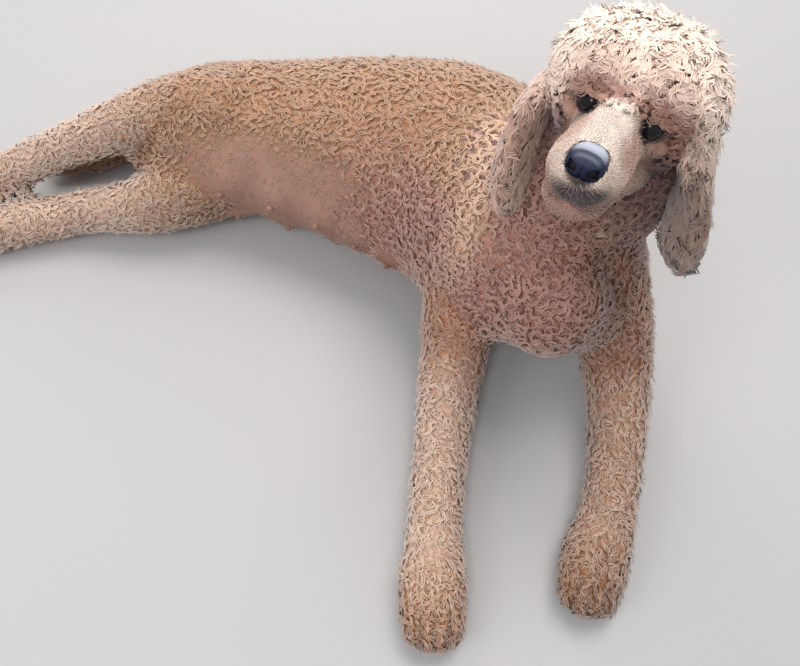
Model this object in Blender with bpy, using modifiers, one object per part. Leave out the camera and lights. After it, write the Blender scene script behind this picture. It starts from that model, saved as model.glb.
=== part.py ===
"""A standard poodle, life size, lying rolled on to its left hip with its head raised.

The front half rests on the elbows with both forelegs stretched out, and both hind legs
trail behind. Metres, +Z up. The dog is posed in a frame of its own, with the front paws
near Y 0, and is moved at the end so that the middle of its box stands at X 0, Y 0.
"""

import math
from itertools import product
from typing import NamedTuple

import bmesh
import bpy
import numpy as np
from mathutils import Matrix, Vector, geometry

# Driving dimensions of the coat, from the skin to the tips
GAP = 0.0003
BODY_COAT = 0.024
CHEST_COAT = 0.028
LEG_COAT = 0.021
FOOT_COAT = 0.016
TAIL_COAT = 0.028
TOPKNOT_COAT = 0.042
EAR_COAT = 0.014

# The coat is a core at this share of its depth, with rounded clumps on it out to the tips
CORE_SHARE = 0.42
CROWN_CORE = 0.50
CLUMP_SPREAD = 0.66
CLUMP_VARIES = 0.14
CLUMP_SIDES = 6
CLUMP_RINGS = ((0.62, 0.82), (0.98, 0.30))
CLUMP_ROOT = 0.50
CLUMP_LEAN = 0.30
SEED = 11

# Spacing of the clumps on each part, from the middle of one to the next
SPACING = {
    "trunk": 0.071,
    "neck": 0.058,
    "foreleg_right": 0.051,
    "foreleg_left": 0.051,
    "hindleg_right": 0.056,
    "hindleg_left": 0.056,
    "tail": 0.044,
    "crown": 0.041,
    "ear_right": 0.040,
    "ear_left": 0.040,
}
FOOT_SPACING = 0.038
BROW_SPACING = 0.028
EYE_CLEAR = 0.030

# Edges shorter than these are drawn together, where that turns no face by more than this cosine
BODY_SLIVER = 0.0068
EAR_SLIVER = 0.0045
HEAD_SLIVER = 0.0024
WHOLE_SLIVER = 0.0038
NODE_SLIVER = 0.0002
FACE_TURN = 0.7

# How finely the blended surfaces are made
BODY_VOXEL = 0.020
BODY_KEEP = 0.17
HEAD_VOXEL = 0.0055
HEAD_KEEP = 0.128

# Claws
CLAW_LENGTH = 0.012
CLAW_RADIUS = 0.0032
CLAW_TIP = 0.0008
CLAW_PITCH = 0.0095

# Head sizes
EYE_SPACING = 0.068
EYE_RADIUS = 0.0118
EYE_FRONT = 0.013
EYE_RISE = 0.003
EYE_AXIS = Vector((0.87, 0.46, 0.10)).normalized()
LID_HALF_WIDTH = 0.0122
LID_HALF_HEIGHT = 0.0092
LID_THICKNESS = 0.0030

ORBIT_HALF = (0.0075, 0.0155, 0.0120)

# Where the trunk's belly is bare: from and to, along the trunk, and how far the skin faces away
BELLY = (0.16, 0.62, -0.30)

# The clipped face ends along this line, seen from the side: X and Z in the head's own frame
FACE_LINE = ((-0.060, -0.070), (-0.050, -0.030), (-0.030, -0.004), (0.006, 0.016), (0.030, 0.034))

# The feet start at this share of a leg's length, and the skull is this thick under the crown
FOOT_FROM = 0.86
CROWN_FLESH = 0.030
BROW_FROM = -0.020

# The inner side of an ear has no locks where it faces the head by more than this
EAR_INNER = -0.25
CUP_HALF = (0.020, 0.012, 0.040)
CUP_DEPTH = 0.005

# The cuts that part the nodes: how far the sleeves reach, in coat depths, and the head's box
LIMB_REACH = 1.5
HINDLEG_REACH = 1.7
EAR_REACH = 1.3
HEAD_BOX_AT = (0.20, 0.42, 0.50)
HEAD_BOX_HALF = (0.20, 0.26, 0.14)
HEAD_BOX_TILT = -0.25
FLOOR_AT = (0, 0.4, -0.5)
FLOOR_HALF = (2, 2, 0.5)

# The head's own frame: X to the nose, Y to the dog's left, Z to the crown
HEAD_AT = Vector((0.2007, 0.4455, 0.4365))
HEAD_FORWARD = Vector((-0.430, -0.762, 0.482)).normalized()
HEAD_LEFT = Vector((0.837, -0.553, 0.0122)).normalized()


class Station(NamedTuple):
    """A cross-section of a limb or of the trunk."""

    at: tuple
    across: float
    through: float
    back: tuple
    coat: float


class Section(NamedTuple):
    """A cross-section of the head, in the head's own frame."""

    x: float
    top: float
    bottom: float
    half_width: float


class Blob(NamedTuple):
    """A rounded swelling: its middle and its half sizes."""

    at: tuple
    half: tuple


TRUNK = [
    Station((-0.350, 0.700, 0.092), 0.040, 0.045, (0, 0.97, 0.25), BODY_COAT),
    Station((-0.285, 0.698, 0.102), 0.078, 0.078, (0, 0.97, 0.25), BODY_COAT),
    Station((-0.150, 0.678, 0.107), 0.083, 0.098, (0, 0.95, 0.30), BODY_COAT),
    Station((-0.020, 0.642, 0.119), 0.096, 0.119, (0.05, 0.90, 0.43), BODY_COAT),
    Station((0.080, 0.588, 0.140), 0.102, 0.128, (0.18, 0.76, 0.64), BODY_COAT),
    Station((0.135, 0.505, 0.158), 0.098, 0.120, (0.22, 0.52, 0.82), CHEST_COAT),
    Station((0.168, 0.430, 0.172), 0.078, 0.092, (0.15, 0.35, 0.92), CHEST_COAT),
    Station((0.182, 0.388, 0.182), 0.045, 0.052, (0.10, 0.30, 0.95), CHEST_COAT),
]
NECK = [
    Station((0.140, 0.500, 0.160), 0.080, 0.090, (0.1, 0.90, 0.2), CHEST_COAT),
    Station((0.168, 0.508, 0.230), 0.066, 0.074, (0.1, 0.98, 0.1), CHEST_COAT),
    Station((0.204, 0.512, 0.300), 0.056, 0.062, (0.2, 0.95, 0.0), 0.026),
    Station((0.234, 0.514, 0.355), 0.050, 0.056, (0.3, 0.90, 0.2), 0.022),
    Station((0.245, 0.514, 0.390), 0.044, 0.046, (0.3, 0.80, 0.4), 0.018),
]
FORELEG_GIRTHS = [
    (0.048, 0.060, CHEST_COAT),
    (0.042, 0.050, LEG_COAT),
    (0.030, 0.034, LEG_COAT),
    (0.022, 0.024, LEG_COAT),
    (0.019, 0.019, LEG_COAT),
    (0.028, 0.019, FOOT_COAT),
    (0.023, 0.014, FOOT_COAT),
]
FORELEG_RIGHT = [
    (0.105, 0.470, 0.165),
    (0.085, 0.425, 0.108),
    (0.072, 0.365, 0.058),
    (0.055, 0.250, 0.040),
    (0.044, 0.150, 0.036),
    (0.040, 0.070, 0.030),
    (0.040, 0.024, 0.025),
]
FORELEG_LEFT = [
    (0.232, 0.460, 0.165),
    (0.268, 0.406, 0.112),
    (0.289, 0.346, 0.060),
    (0.283, 0.252, 0.040),
    (0.265, 0.172, 0.036),
    (0.242, 0.106, 0.030),
    (0.228, 0.062, 0.025),
]
HINDLEG_GIRTHS = [
    (0.048, 0.072, BODY_COAT),
    (0.043, 0.066, BODY_COAT),
    (0.034, 0.050, LEG_COAT),
    (0.023, 0.032, LEG_COAT),
    (0.018, 0.024, LEG_COAT),
    (0.017, 0.018, LEG_COAT),
    (0.023, 0.018, FOOT_COAT),
    (0.022, 0.013, FOOT_COAT),
]
HINDLEG_RIGHT = [
    (-0.255, 0.690, 0.138),
    (-0.315, 0.682, 0.136),
    (-0.385, 0.656, 0.126),
    (-0.480, 0.646, 0.104),
    (-0.580, 0.644, 0.078),
    (-0.665, 0.641, 0.052),
    (-0.742, 0.630, 0.030),
    (-0.788, 0.622, 0.023),
]
HINDLEG_LEFT = [
    (-0.260, 0.665, 0.085),
    (-0.310, 0.635, 0.082),
    (-0.375, 0.610, 0.066),
    (-0.465, 0.606, 0.050),
    (-0.560, 0.592, 0.039),
    (-0.645, 0.568, 0.034),
    (-0.715, 0.553, 0.030),
    (-0.760, 0.546, 0.023),
]
TAIL = [
    Station((-0.335, 0.712, 0.090), 0.026, 0.026, (0, 0.3, 0.95), BODY_COAT),
    Station((-0.385, 0.735, 0.068), 0.017, 0.017, (0, 0.3, 0.95), 0.022),
    Station((-0.440, 0.738, 0.042), 0.012, 0.012, (0, 0.2, 0.98), TAIL_COAT),
    Station((-0.495, 0.724, 0.034), 0.010, 0.010, (0, 0.0, 1.00), TAIL_COAT),
    Station((-0.530, 0.712, 0.029), 0.007, 0.007, (0, 0.0, 1.00), 0.024),
]
SKULL = [
    Section(0.121, 0.0070, -0.033, 0.0205),
    Section(0.109, 0.0115, -0.039, 0.0285),
    Section(0.090, 0.0140, -0.042, 0.0315),
    Section(0.060, 0.0160, -0.044, 0.0325),
    Section(0.035, 0.0185, -0.048, 0.0325),
    Section(0.015, 0.0240, -0.051, 0.0335),
    Section(0.000, 0.0310, -0.054, 0.0375),
    Section(-0.020, 0.0420, -0.058, 0.0480),
    Section(-0.045, 0.0480, -0.062, 0.0560),
    Section(-0.080, 0.0480, -0.060, 0.0550),
    Section(-0.112, 0.0360, -0.048, 0.0450),
    Section(-0.135, 0.0150, -0.020, 0.0250),
]
JAW = [
    Section(0.104, -0.026, -0.0460, 0.0165),
    Section(0.088, -0.026, -0.0495, 0.0235),
    Section(0.058, -0.026, -0.0525, 0.0270),
    Section(0.020, -0.026, -0.0560, 0.0310),
    Section(-0.020, -0.028, -0.0590, 0.0370),
]
NOSE = [
    Section(0.114, 0.0100, -0.0155, 0.0145),
    Section(0.121, 0.0110, -0.0175, 0.0172),
    Section(0.130, 0.0090, -0.0165, 0.0168),
    Section(0.1350, 0.0040, -0.0110, 0.0120),
]
SWELLINGS = [
    Blob((-0.006, 0.026, 0.020), (0.014, 0.013, 0.010)),
    Blob((-0.030, 0.044, -0.014), (0.030, 0.014, 0.014)),
    Blob((-0.052, 0.040, -0.036), (0.030, 0.018, 0.024)),
    Blob((0.072, 0.017, -0.026), (0.034, 0.0165, 0.020)),
]
TOPKNOT = [
    Blob((-0.050, -0.006, 0.045), (0.070, 0.088, 0.060)),
    Blob((-0.075, 0.0, 0.012), (0.062, 0.083, 0.060)),
    Blob((-0.100, 0.0, -0.004), (0.052, 0.074, 0.066)),
]
EAR_RIGHT = [
    Station((-0.052, -0.058, 0.012), 0.024, 0.009, (0, 1.0, 0.2), 0.008),
    Station((-0.056, -0.078, -0.018), 0.032, 0.008, (0, 1.0, 0.1), EAR_COAT),
    Station((-0.056, -0.084, -0.062), 0.036, 0.007, (0.2, 1.0, 0), EAR_COAT),
    Station((-0.052, -0.080, -0.108), 0.033, 0.006, (0.2, 1.0, 0), 0.017),
    Station((-0.048, -0.072, -0.142), 0.020, 0.005, (0.2, 1.0, 0), 0.018),
]
EAR_LEFT = [
    Station((-0.052, 0.058, 0.012), 0.024, 0.009, (0, 1.0, -0.2), 0.008),
    Station((-0.060, 0.080, -0.018), 0.032, 0.008, (0, 1.0, -0.1), EAR_COAT),
    Station((-0.072, 0.098, -0.062), 0.037, 0.007, (-0.3, 1.0, 0.3), EAR_COAT),
    Station((-0.084, 0.112, -0.100), 0.036, 0.007, (-0.3, 1.0, 0.3), 0.020),
    Station((-0.092, 0.122, -0.128), 0.023, 0.006, (-0.3, 1.0, 0.3), 0.020),
]


LEGS = {
    "foreleg_right": (FORELEG_RIGHT, FORELEG_GIRTHS),
    "foreleg_left": (FORELEG_LEFT, FORELEG_GIRTHS),
    "hindleg_left": (HINDLEG_LEFT, HINDLEG_GIRTHS),
    "hindleg_right": (HINDLEG_RIGHT, HINDLEG_GIRTHS),
}
EARS = {"ear_right": EAR_RIGHT, "ear_left": EAR_LEFT}


def head_frame():
    """The matrix from the head's own frame to the dog's."""
    up = HEAD_FORWARD.cross(HEAD_LEFT).normalized()
    left = up.cross(HEAD_FORWARD)
    turn = Matrix((HEAD_FORWARD, left, up)).transposed().to_4x4()
    return Matrix.Translation(HEAD_AT) @ turn


def limb(joints, girths):
    """Stations for a leg whose joints and girths are given."""
    return [
        Station(at, across, through, (0, 0, 1), coat)
        for at, (across, through, coat) in zip(joints, girths)
    ]


def stations_of(sections):
    """Stations along the head's X for sections that give a top, a bottom and a half width."""
    return [
        Station(
            (s.x, 0, (s.top + s.bottom) / 2),
            s.half_width,
            (s.top - s.bottom) / 2,
            (0, 0, 1),
            0.001,
        )
        for s in sections
    ]


def blend(rows, place):
    """A value on the smooth curve through the rows, at a place counted in rows."""
    last = len(rows) - 1
    i = min(int(place), last - 1)
    t = place - i
    p0, p1 = rows[max(i - 1, 0)], rows[i]
    p2, p3 = rows[i + 1], rows[min(i + 2, last)]
    return 0.5 * (
        2 * p1
        + (p2 - p0) * t
        + (2 * p0 - 5 * p1 + 4 * p2 - p3) * t * t
        + (3 * p1 - p0 - 3 * p2 + p3) * t**3
    )


def loft(name, stations, share=1.0, steps=4, sides=20, power=2.0, grow=0.0):
    """A closed body through rounded stations, with round ends.

    A power over 2 squares the section off, and grow adds to every size.
    """
    centres = np.array([s.at for s in stations], float)
    backs = np.array([s.back for s in stations], float)
    sizes = grow + np.array(
        [(s.across + share * s.coat, s.through + share * s.coat) for s in stations]
    )
    places = np.linspace(0, len(stations) - 1, (len(stations) - 1) * steps + 1)
    rings = []
    for place in places:
        at = Vector(blend(centres, place))
        ahead = Vector(blend(centres, min(place + 0.05, places[-1])))
        behind = Vector(blend(centres, max(place - 0.05, 0)))
        along = (ahead - behind).normalized()
        back = Vector(blend(backs, place))
        back = (back - along * back.dot(along)).normalized()
        rings.append((at, along, along.cross(back), back, blend(sizes, place)))
    caps = [(0.35, 0.93), (0.68, 0.72), (0.9, 0.4)]

    def cap(ring, sign, reach, scale):
        at, along, side, back, size = ring
        return at + along * sign * reach * min(size), along, side, back, size * scale

    full = [cap(rings[0], -1, *c) for c in reversed(caps)] + rings
    full += [cap(rings[-1], 1, *c) for c in caps]
    mesh = bmesh.new()
    loops = []
    for at, _, side, back, size in full:
        loop = []
        for k in range(sides):
            c = math.cos(2 * math.pi * k / sides)
            s = math.sin(2 * math.pi * k / sides)
            x = math.copysign(abs(c) ** (2 / power), c)
            y = math.copysign(abs(s) ** (2 / power), s)
            loop.append(mesh.verts.new(at + side * size[0] * x + back * size[1] * y))
        loops.append(loop)
    for low, high in zip(loops, loops[1:]):
        for k in range(sides):
            mesh.faces.new((low[k], low[k - 1], high[k - 1], high[k]))
    mesh.faces.new(loops[0])
    mesh.faces.new(list(reversed(loops[-1])))
    bmesh.ops.recalc_face_normals(mesh, faces=mesh.faces)
    return add_object(name, mesh)


def ball(name, at, half, around=12, rings=8, turn=None):
    """A ball of three half sizes, turned by a matrix and set at a point."""
    mesh = bmesh.new()
    bmesh.ops.create_uvsphere(mesh, u_segments=around, v_segments=rings, radius=1)
    place = Matrix.Translation(at) @ (turn or Matrix()) @ Matrix.Diagonal((*half, 1))
    bmesh.ops.transform(mesh, matrix=place, verts=mesh.verts)
    return add_object(name, mesh)


def lid_ring(name, side):
    """The rim of the lids of one eye, an oval ring in the head's own frame."""
    around, thick = 14, 5
    mesh = bmesh.new()
    rows = []
    for i in range(around):
        a = 2 * math.pi * i / around
        row = []
        for j in range(thick):
            b = 2 * math.pi * j / thick
            reach = LID_THICKNESS * math.cos(b)
            row.append(
                mesh.verts.new(
                    (
                        LID_THICKNESS * math.sin(b),
                        (LID_HALF_WIDTH + reach) * math.cos(a),
                        (LID_HALF_HEIGHT + reach) * math.sin(a),
                    )
                )
            )
        rows.append(row)
    for i in range(around):
        for j in range(thick):
            k = (j + 1) % thick
            mesh.faces.new((rows[i - 1][j], rows[i][j], rows[i][k], rows[i - 1][k]))
    bmesh.ops.recalc_face_normals(mesh, faces=mesh.faces)
    axis = Vector((EYE_AXIS.x, side * EYE_AXIS.y, EYE_AXIS.z))
    turn = axis.to_track_quat("X", "Z").to_matrix().to_4x4()
    at = eye_middle(side) + axis * (EYE_RADIUS * 0.62)
    bmesh.ops.transform(mesh, matrix=Matrix.Translation(at) @ turn, verts=mesh.verts)
    return add_object(name, mesh)


def eye_middle(side):
    """The middle of an eyeball in the head's own frame, its front on the eye line."""
    axis = Vector((EYE_AXIS.x, side * EYE_AXIS.y, EYE_AXIS.z))
    front = Vector((EYE_FRONT, side * EYE_SPACING / 2, EYE_RISE))
    return front - axis * EYE_RADIUS


class Place(NamedTuple):
    """A place on the coat: its part, the share of the part's length, half the flesh's thickness,
    the coat's depth, the way of the back and the lie."""

    part: str
    share: float
    flesh: float
    depth: float
    back: Vector
    lie: Vector


class Coat:
    """Says which part a point of the skin is nearest to, how deep its coat is and how it lies."""

    def __init__(self, parts):
        rows = []
        self.names = list(parts)
        for number, stations in enumerate(parts.values()):
            centres = np.array([s.at for s in stations], float)
            backs = np.array([s.back for s in stations], float)
            sizes = np.array([(min(s.across, s.through), s.coat) for s in stations])
            last = len(stations) - 1
            for place in np.linspace(0, last, last * 6 + 1):
                ahead = blend(centres, min(place + 0.05, last)) - blend(centres, max(place - 0.05, 0))
                lie = ahead / np.linalg.norm(ahead)
                rows.append(
                    (number, place / last, *blend(centres, place), *blend(sizes, place), *blend(backs, place), *lie)
                )
        self.rows = np.array(rows)

    def near(self, point):
        """The place on the nearest part."""
        away = np.linalg.norm(self.rows[:, 2:5] - np.array(point), axis=1) - self.rows[:, 5]
        row = self.rows[int(np.argmin(away))]
        return Place(self.names[int(row[0])], *row[[1, 5, 6]], Vector(row[7:10]), Vector(row[10:13]))


def scatter(thing, spacing_at, draw):
    """Points spread evenly over a surface, each with its normal.

    The spacing at a point comes from a function, which gives None where nothing grows.
    """
    thing.data.calc_loop_triangles()
    corners = np.array([[thing.data.vertices[i].co for i in t.vertices] for t in thing.data.loop_triangles])
    cross = np.cross(corners[:, 1] - corners[:, 0], corners[:, 2] - corners[:, 0])
    areas = np.linalg.norm(cross, axis=1)
    picks = draw.choice(len(corners), 9000, p=areas / areas.sum())
    u, v = draw.random((2, len(picks)))
    flip = u + v > 1
    u[flip], v[flip] = 1 - u[flip], 1 - v[flip]
    points = corners[picks, 0] * (1 - u - v)[:, None] + corners[picks, 1] * u[:, None]
    points += corners[picks, 2] * v[:, None]
    kept = []
    normals = []
    for point, pick in zip(points, picks):
        normal = Vector(cross[pick]).normalized()
        spacing = spacing_at(Vector(point), normal)
        if spacing is None:
            continue
        if kept and np.min(np.linalg.norm(np.array(kept) - point, axis=1)) < spacing:
            continue
        kept.append(point)
        normals.append(normal)
    return [(Vector(p), n) for p, n in zip(kept, normals)]


def clump(point, normal, lie, radius, height, sunk, draw):
    """One rounded clump of curls: a dome with its root sunk in the core."""
    radius *= 1 + CLUMP_VARIES * draw.uniform(-1, 1)
    height *= 1 + CLUMP_VARIES * draw.uniform(-1, 0.6)
    lie = (lie - normal * lie.dot(normal)).normalized()
    side = normal.cross(lie)
    start = draw.uniform(0, 2 * math.pi)
    mesh = bmesh.new()
    tip = mesh.verts.new(point + normal * height + lie * radius * CLUMP_LEAN)
    root = mesh.verts.new(point - normal * sunk)
    rings = []
    for reach, rise in CLUMP_RINGS:
        middle = point + normal * height * rise + lie * radius * CLUMP_LEAN * rise
        ring = []
        for k in range(CLUMP_SIDES):
            a = start + 2 * math.pi * k / CLUMP_SIDES
            ring.append(mesh.verts.new(middle + (lie * math.cos(a) + side * math.sin(a)) * radius * reach))
        rings.append(ring)
    for k in range(CLUMP_SIDES):
        mesh.faces.new((tip, rings[0][k - 1], rings[0][k]))
        mesh.faces.new((rings[0][k - 1], rings[1][k - 1], rings[1][k], rings[0][k]))
        mesh.faces.new((root, rings[1][k], rings[1][k - 1]))
    bmesh.ops.recalc_face_normals(mesh, faces=mesh.faces)
    return add_object("clump", mesh)


def clumps_on(thing, spacing_at, place_at, draw):
    """Clumps spread over a surface, each as wide as the spacing there and as high as the coat."""
    made = []
    for point, normal in scatter(thing, spacing_at, draw):
        place = place_at(point, normal)
        radius = spacing_at(point, normal) * CLUMP_SPREAD
        sunk = min(radius * CLUMP_ROOT, place.flesh + CORE_SHARE * place.depth)
        made.append(clump(point, normal, place.lie, radius, place.depth * (1 - CORE_SHARE), sunk, draw))
    return made


def body_clumps(body, parts, draw):
    """The clumps of trunk, neck, legs and tail, with the belly left bare."""
    coat = Coat(parts)

    def spacing_at(point, normal):
        place = coat.near(point)
        if place.part == "trunk" and BELLY[0] < place.share < BELLY[1] and normal.dot(place.back) < BELLY[2]:
            return None
        if "leg" in place.part and place.share > FOOT_FROM:
            return FOOT_SPACING
        return SPACING[place.part]

    return clumps_on(body, spacing_at, lambda point, normal: coat.near(point), draw)


def crown_clumps(head, draw):
    """The clumps of the crown, behind the line where the clipped face ends and clear of the eyes."""
    back = head_frame().inverted()
    eyes_at = [eye_middle(side) for side in (1, -1)]

    def spacing_at(point, normal):
        local = back @ point
        line = np.interp(local.z, [z for _, z in FACE_LINE], [x for x, _ in FACE_LINE])
        if local.x > line or min((local - at).length for at in eyes_at) < EYE_CLEAR:
            return None
        return BROW_SPACING if local.x > BROW_FROM else SPACING["crown"]

    def place_at(point, normal):
        depth = TOPKNOT_COAT * min(1, spacing_at(point, normal) / SPACING["crown"])
        return Place("crown", 0.5, CROWN_FLESH, depth, normal, normal.cross(HEAD_LEFT))

    return clumps_on(head, spacing_at, place_at, draw)


def ear_clumps(name, ear, stations, draw):
    """The locks of one ear, on its outer side and round its edges."""
    coat = Coat({name: stations})
    outward = 1 if name == "ear_left" else -1

    def spacing_at(point, normal):
        return SPACING[name] if normal.dot(coat.near(point).back) * outward > EAR_INNER else None

    return clumps_on(ear, spacing_at, lambda point, normal: coat.near(point), draw)


def turned_diagonal(mesh, edge):
    """Gives one of the two pairs of triangles that share an edge the quad's other diagonal."""
    low, high = edge.verts
    onward = [loop.face for loop in edge.link_loops if loop.vert is low]
    backward = [loop.face for loop in edge.link_loops if loop.vert is high]
    for first, second in sorted(product(onward, backward), key=lambda p: -p[0].normal.dot(p[1].normal)):
        tops = [v for v in first.verts if v not in edge.verts]
        tops += [v for v in second.verts if v not in edge.verts]
        corners = [(low, tops[1], tops[0]), (tops[1], high, tops[0])]
        turns = [geometry.normal([v.co for v in trio]).dot(first.normal) for trio in corners]
        if tops[0] is not tops[1] and min(turns) > 0 and mesh.edges.get(tops) is None:
            for face in (first, second):
                mesh.faces.remove(face)
            for trio in corners:
                mesh.faces.new(trio)
            return


def triangulated(thing):
    """A bmesh of a thing in triangles, with two faces at each edge."""
    mesh = bmesh.new()
    mesh.from_mesh(thing.data)
    bmesh.ops.triangulate(mesh, faces=mesh.faces)
    mesh.normal_update()
    for edge in [e for e in mesh.edges if len(e.link_faces) > 2]:
        turned_diagonal(mesh, edge)
    mesh.normal_update()
    return mesh


def keeps_its_form(edge):
    """Whether an edge can be drawn together with the surface still closed and no face turned over."""
    low, high = edge.verts
    shared = {e.other_vert(low) for e in low.link_edges} & {e.other_vert(high) for e in high.link_edges}
    if len(shared) != 2 or any(len(v.link_edges) < 4 for v in shared):
        return False
    middle = (low.co + high.co) / 2
    for face in {f for v in edge.verts for f in v.link_faces} - set(edge.link_faces):
        points = [middle if v in edge.verts else v.co for v in face.verts]
        if geometry.normal(points).dot(face.normal) < FACE_TURN:
            return False
    return True


def without_slivers(thing, least):
    """Draws together the edges shorter than a length, which the unions leave where clumps cross."""
    mesh = triangulated(thing)
    drawn = True
    while drawn:
        drawn = {}
        touched = set()
        for edge in sorted(mesh.edges, key=lambda e: e.calc_length()):
            if edge.calc_length() >= least:
                break
            near = {v for end in edge.verts for face in end.link_faces for v in face.verts}
            if touched.isdisjoint(near) and keeps_its_form(edge):
                touched |= near
                low, high = edge.verts
                low.co = (low.co + high.co) / 2
                drawn[high] = low
        bmesh.ops.weld_verts(mesh, targetmap=drawn)
        mesh.normal_update()
    mesh.to_mesh(thing.data)
    mesh.free()
    return thing


def claws(joints, girths):
    """Four claws at the end of a foot."""
    tip, before = Vector(joints[-1]), Vector(joints[-2])
    ahead = (tip - before).normalized()
    side = ahead.cross(Vector((0, 0, 1))).normalized()
    across, through, coat = girths[-1]
    made = []
    for k in range(4):
        offset = k - 1.5
        at = tip + ahead * (through * 0.7 + coat * (1 - abs(offset) * 0.14)) + side * offset * CLAW_PITCH
        at.z = 0.009
        aim = (ahead + side * offset * 0.12 - Vector((0, 0, 0.35))).normalized()
        mesh = bmesh.new()
        size = {"radius1": CLAW_RADIUS, "radius2": CLAW_TIP, "depth": CLAW_LENGTH * 2}
        bmesh.ops.create_cone(mesh, cap_ends=True, segments=5, **size)
        turn = aim.to_track_quat("Z", "Y").to_matrix().to_4x4()
        bmesh.ops.transform(mesh, matrix=Matrix.Translation(at) @ turn, verts=mesh.verts)
        made.append(add_object("claw", mesh))
    return made


def add_object(name, mesh):
    """A new object from a bmesh, in the collection of working shapes."""
    data = bpy.data.meshes.new(name)
    mesh.to_mesh(data)
    mesh.free()
    made = bpy.data.objects.new(name, data)
    bpy.context.scene.collection.objects.link(made)
    return made


def settle(thing):
    """Replaces an object's mesh and modifiers by what they evaluate to."""
    graph = bpy.context.evaluated_depsgraph_get()
    made = bpy.data.meshes.new_from_object(thing.evaluated_get(graph))
    thing.modifiers.clear()
    thing.data = made
    return thing


def remove(things):
    for thing in things:
        bpy.data.objects.remove(thing, do_unlink=True)


def moved(things, matrix):
    """Moves the meshes of some objects by a matrix."""
    for thing in things:
        thing.data.transform(matrix)
    return things


def joined(name, things):
    """One object that holds the faces of several, which are removed."""
    mesh = bmesh.new()
    for thing in things:
        mesh.from_mesh(thing.data)
    remove(things)
    return add_object(name, mesh)


def blended(name, things, voxel, passes, keep=1.0):
    """Several overlapping bodies as one smooth closed surface."""
    made = joined(name, things)
    remesh = made.modifiers.new("blend", "REMESH")
    remesh.mode = "VOXEL"
    remesh.voxel_size = voxel
    smooth = made.modifiers.new("smooth", "SMOOTH")
    smooth.iterations = passes
    if keep < 1:
        fewer = made.modifiers.new("fewer", "DECIMATE")
        fewer.ratio = keep
    return settle(made)


def united(base, things):
    """Joins closed bodies to a base in one step."""
    group = bpy.data.collections.new("joining")
    bpy.context.scene.collection.children.link(group)
    for thing in things:
        bpy.context.scene.collection.objects.unlink(thing)
        group.objects.link(thing)
    union = base.modifiers.new("union", "BOOLEAN")
    union.operation = "UNION"
    union.operand_type = "COLLECTION"
    union.collection = group
    union.solver = "MANIFOLD"
    settle(base)
    remove(things)
    bpy.data.collections.remove(group)
    return base


def cut(base, cutter, operation="DIFFERENCE"):
    """Cuts a body by another, which is removed."""
    step = base.modifiers.new("cut", "BOOLEAN")
    step.operation = operation
    step.object = cutter
    step.solver = "MANIFOLD"
    settle(base)
    remove([cutter])
    return base


def largest_only(thing):
    """Keeps the largest closed surface of an object."""
    mesh = bmesh.new()
    mesh.from_mesh(thing.data)
    left = set(mesh.verts)
    best = []
    best_size = -1.0
    while left:
        seen = {left.pop()}
        edge = list(seen)
        while edge:
            vert = edge.pop()
            for link in vert.link_edges:
                other = link.other_vert(vert)
                if other not in seen:
                    seen.add(other)
                    edge.append(other)
        left -= seen
        xyz = np.array([v.co for v in seen])
        size = float(np.prod(np.ptp(xyz, axis=0) + 1e-6))
        if size > best_size:
            best_size = size
            best = seen
    bmesh.ops.delete(mesh, geom=[v for v in mesh.verts if v not in best], context="VERTS")
    mesh.to_mesh(thing.data)
    mesh.free()
    return thing


def part_off(whole, name, sleeve):
    """Parts a node off the whole: what a sleeve holds, and the whole goes without it.

    The sleeve is a function that makes the same closed shape, grown by a length.
    """
    part = whole.copy()
    part.data = whole.data.copy()
    part.name = name
    bpy.context.scene.collection.objects.link(part)
    cut(part, sleeve(0.0), "INTERSECT")
    cut(whole, sleeve(GAP))
    largest_only(whole)
    return largest_only(part)


def limb_sleeve(stations, share, frame=None):
    """A sleeve round a limb, at a share of its coat: one hull round all its stations."""

    def make(grow):
        mesh = bmesh.new()
        along = Vector(stations[-1].at) - Vector(stations[0].at)
        for station in stations:
            back = Vector(station.back)
            side = along.cross(back).normalized()
            turn = Matrix((along.normalized(), side, side.cross(along).normalized())).transposed()
            across = station.across + share * station.coat + grow
            through = station.through + share * station.coat + grow
            half = Matrix.Diagonal((min(across, through), across, through, 1))
            place = Matrix.Translation(station.at) @ turn.to_4x4() @ half
            bmesh.ops.create_uvsphere(mesh, u_segments=8, v_segments=4, radius=1, matrix=place)
        bmesh.ops.delete(mesh, geom=mesh.edges, context="EDGES_FACES")
        bmesh.ops.convex_hull(mesh, input=mesh.verts)
        inner = [v for v in mesh.verts if not v.link_faces]
        bmesh.ops.delete(mesh, geom=inner, context="VERTS")
        bmesh.ops.recalc_face_normals(mesh, faces=mesh.faces)
        hull = add_object("sleeve", mesh)
        if frame is not None:
            moved([hull], frame)
        return hull

    return make


def box_sleeve(middle, half, turn):
    """A turned box as a sleeve."""

    def make(grow):
        mesh = bmesh.new()
        bmesh.ops.create_cube(mesh, size=2)
        size = Matrix.Diagonal((half[0] + grow, half[1] + grow, half[2] + grow, 1))
        bmesh.ops.transform(mesh, matrix=Matrix.Translation(middle) @ turn @ size, verts=mesh.verts)
        return add_object("sleeve", mesh)

    return make


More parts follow.
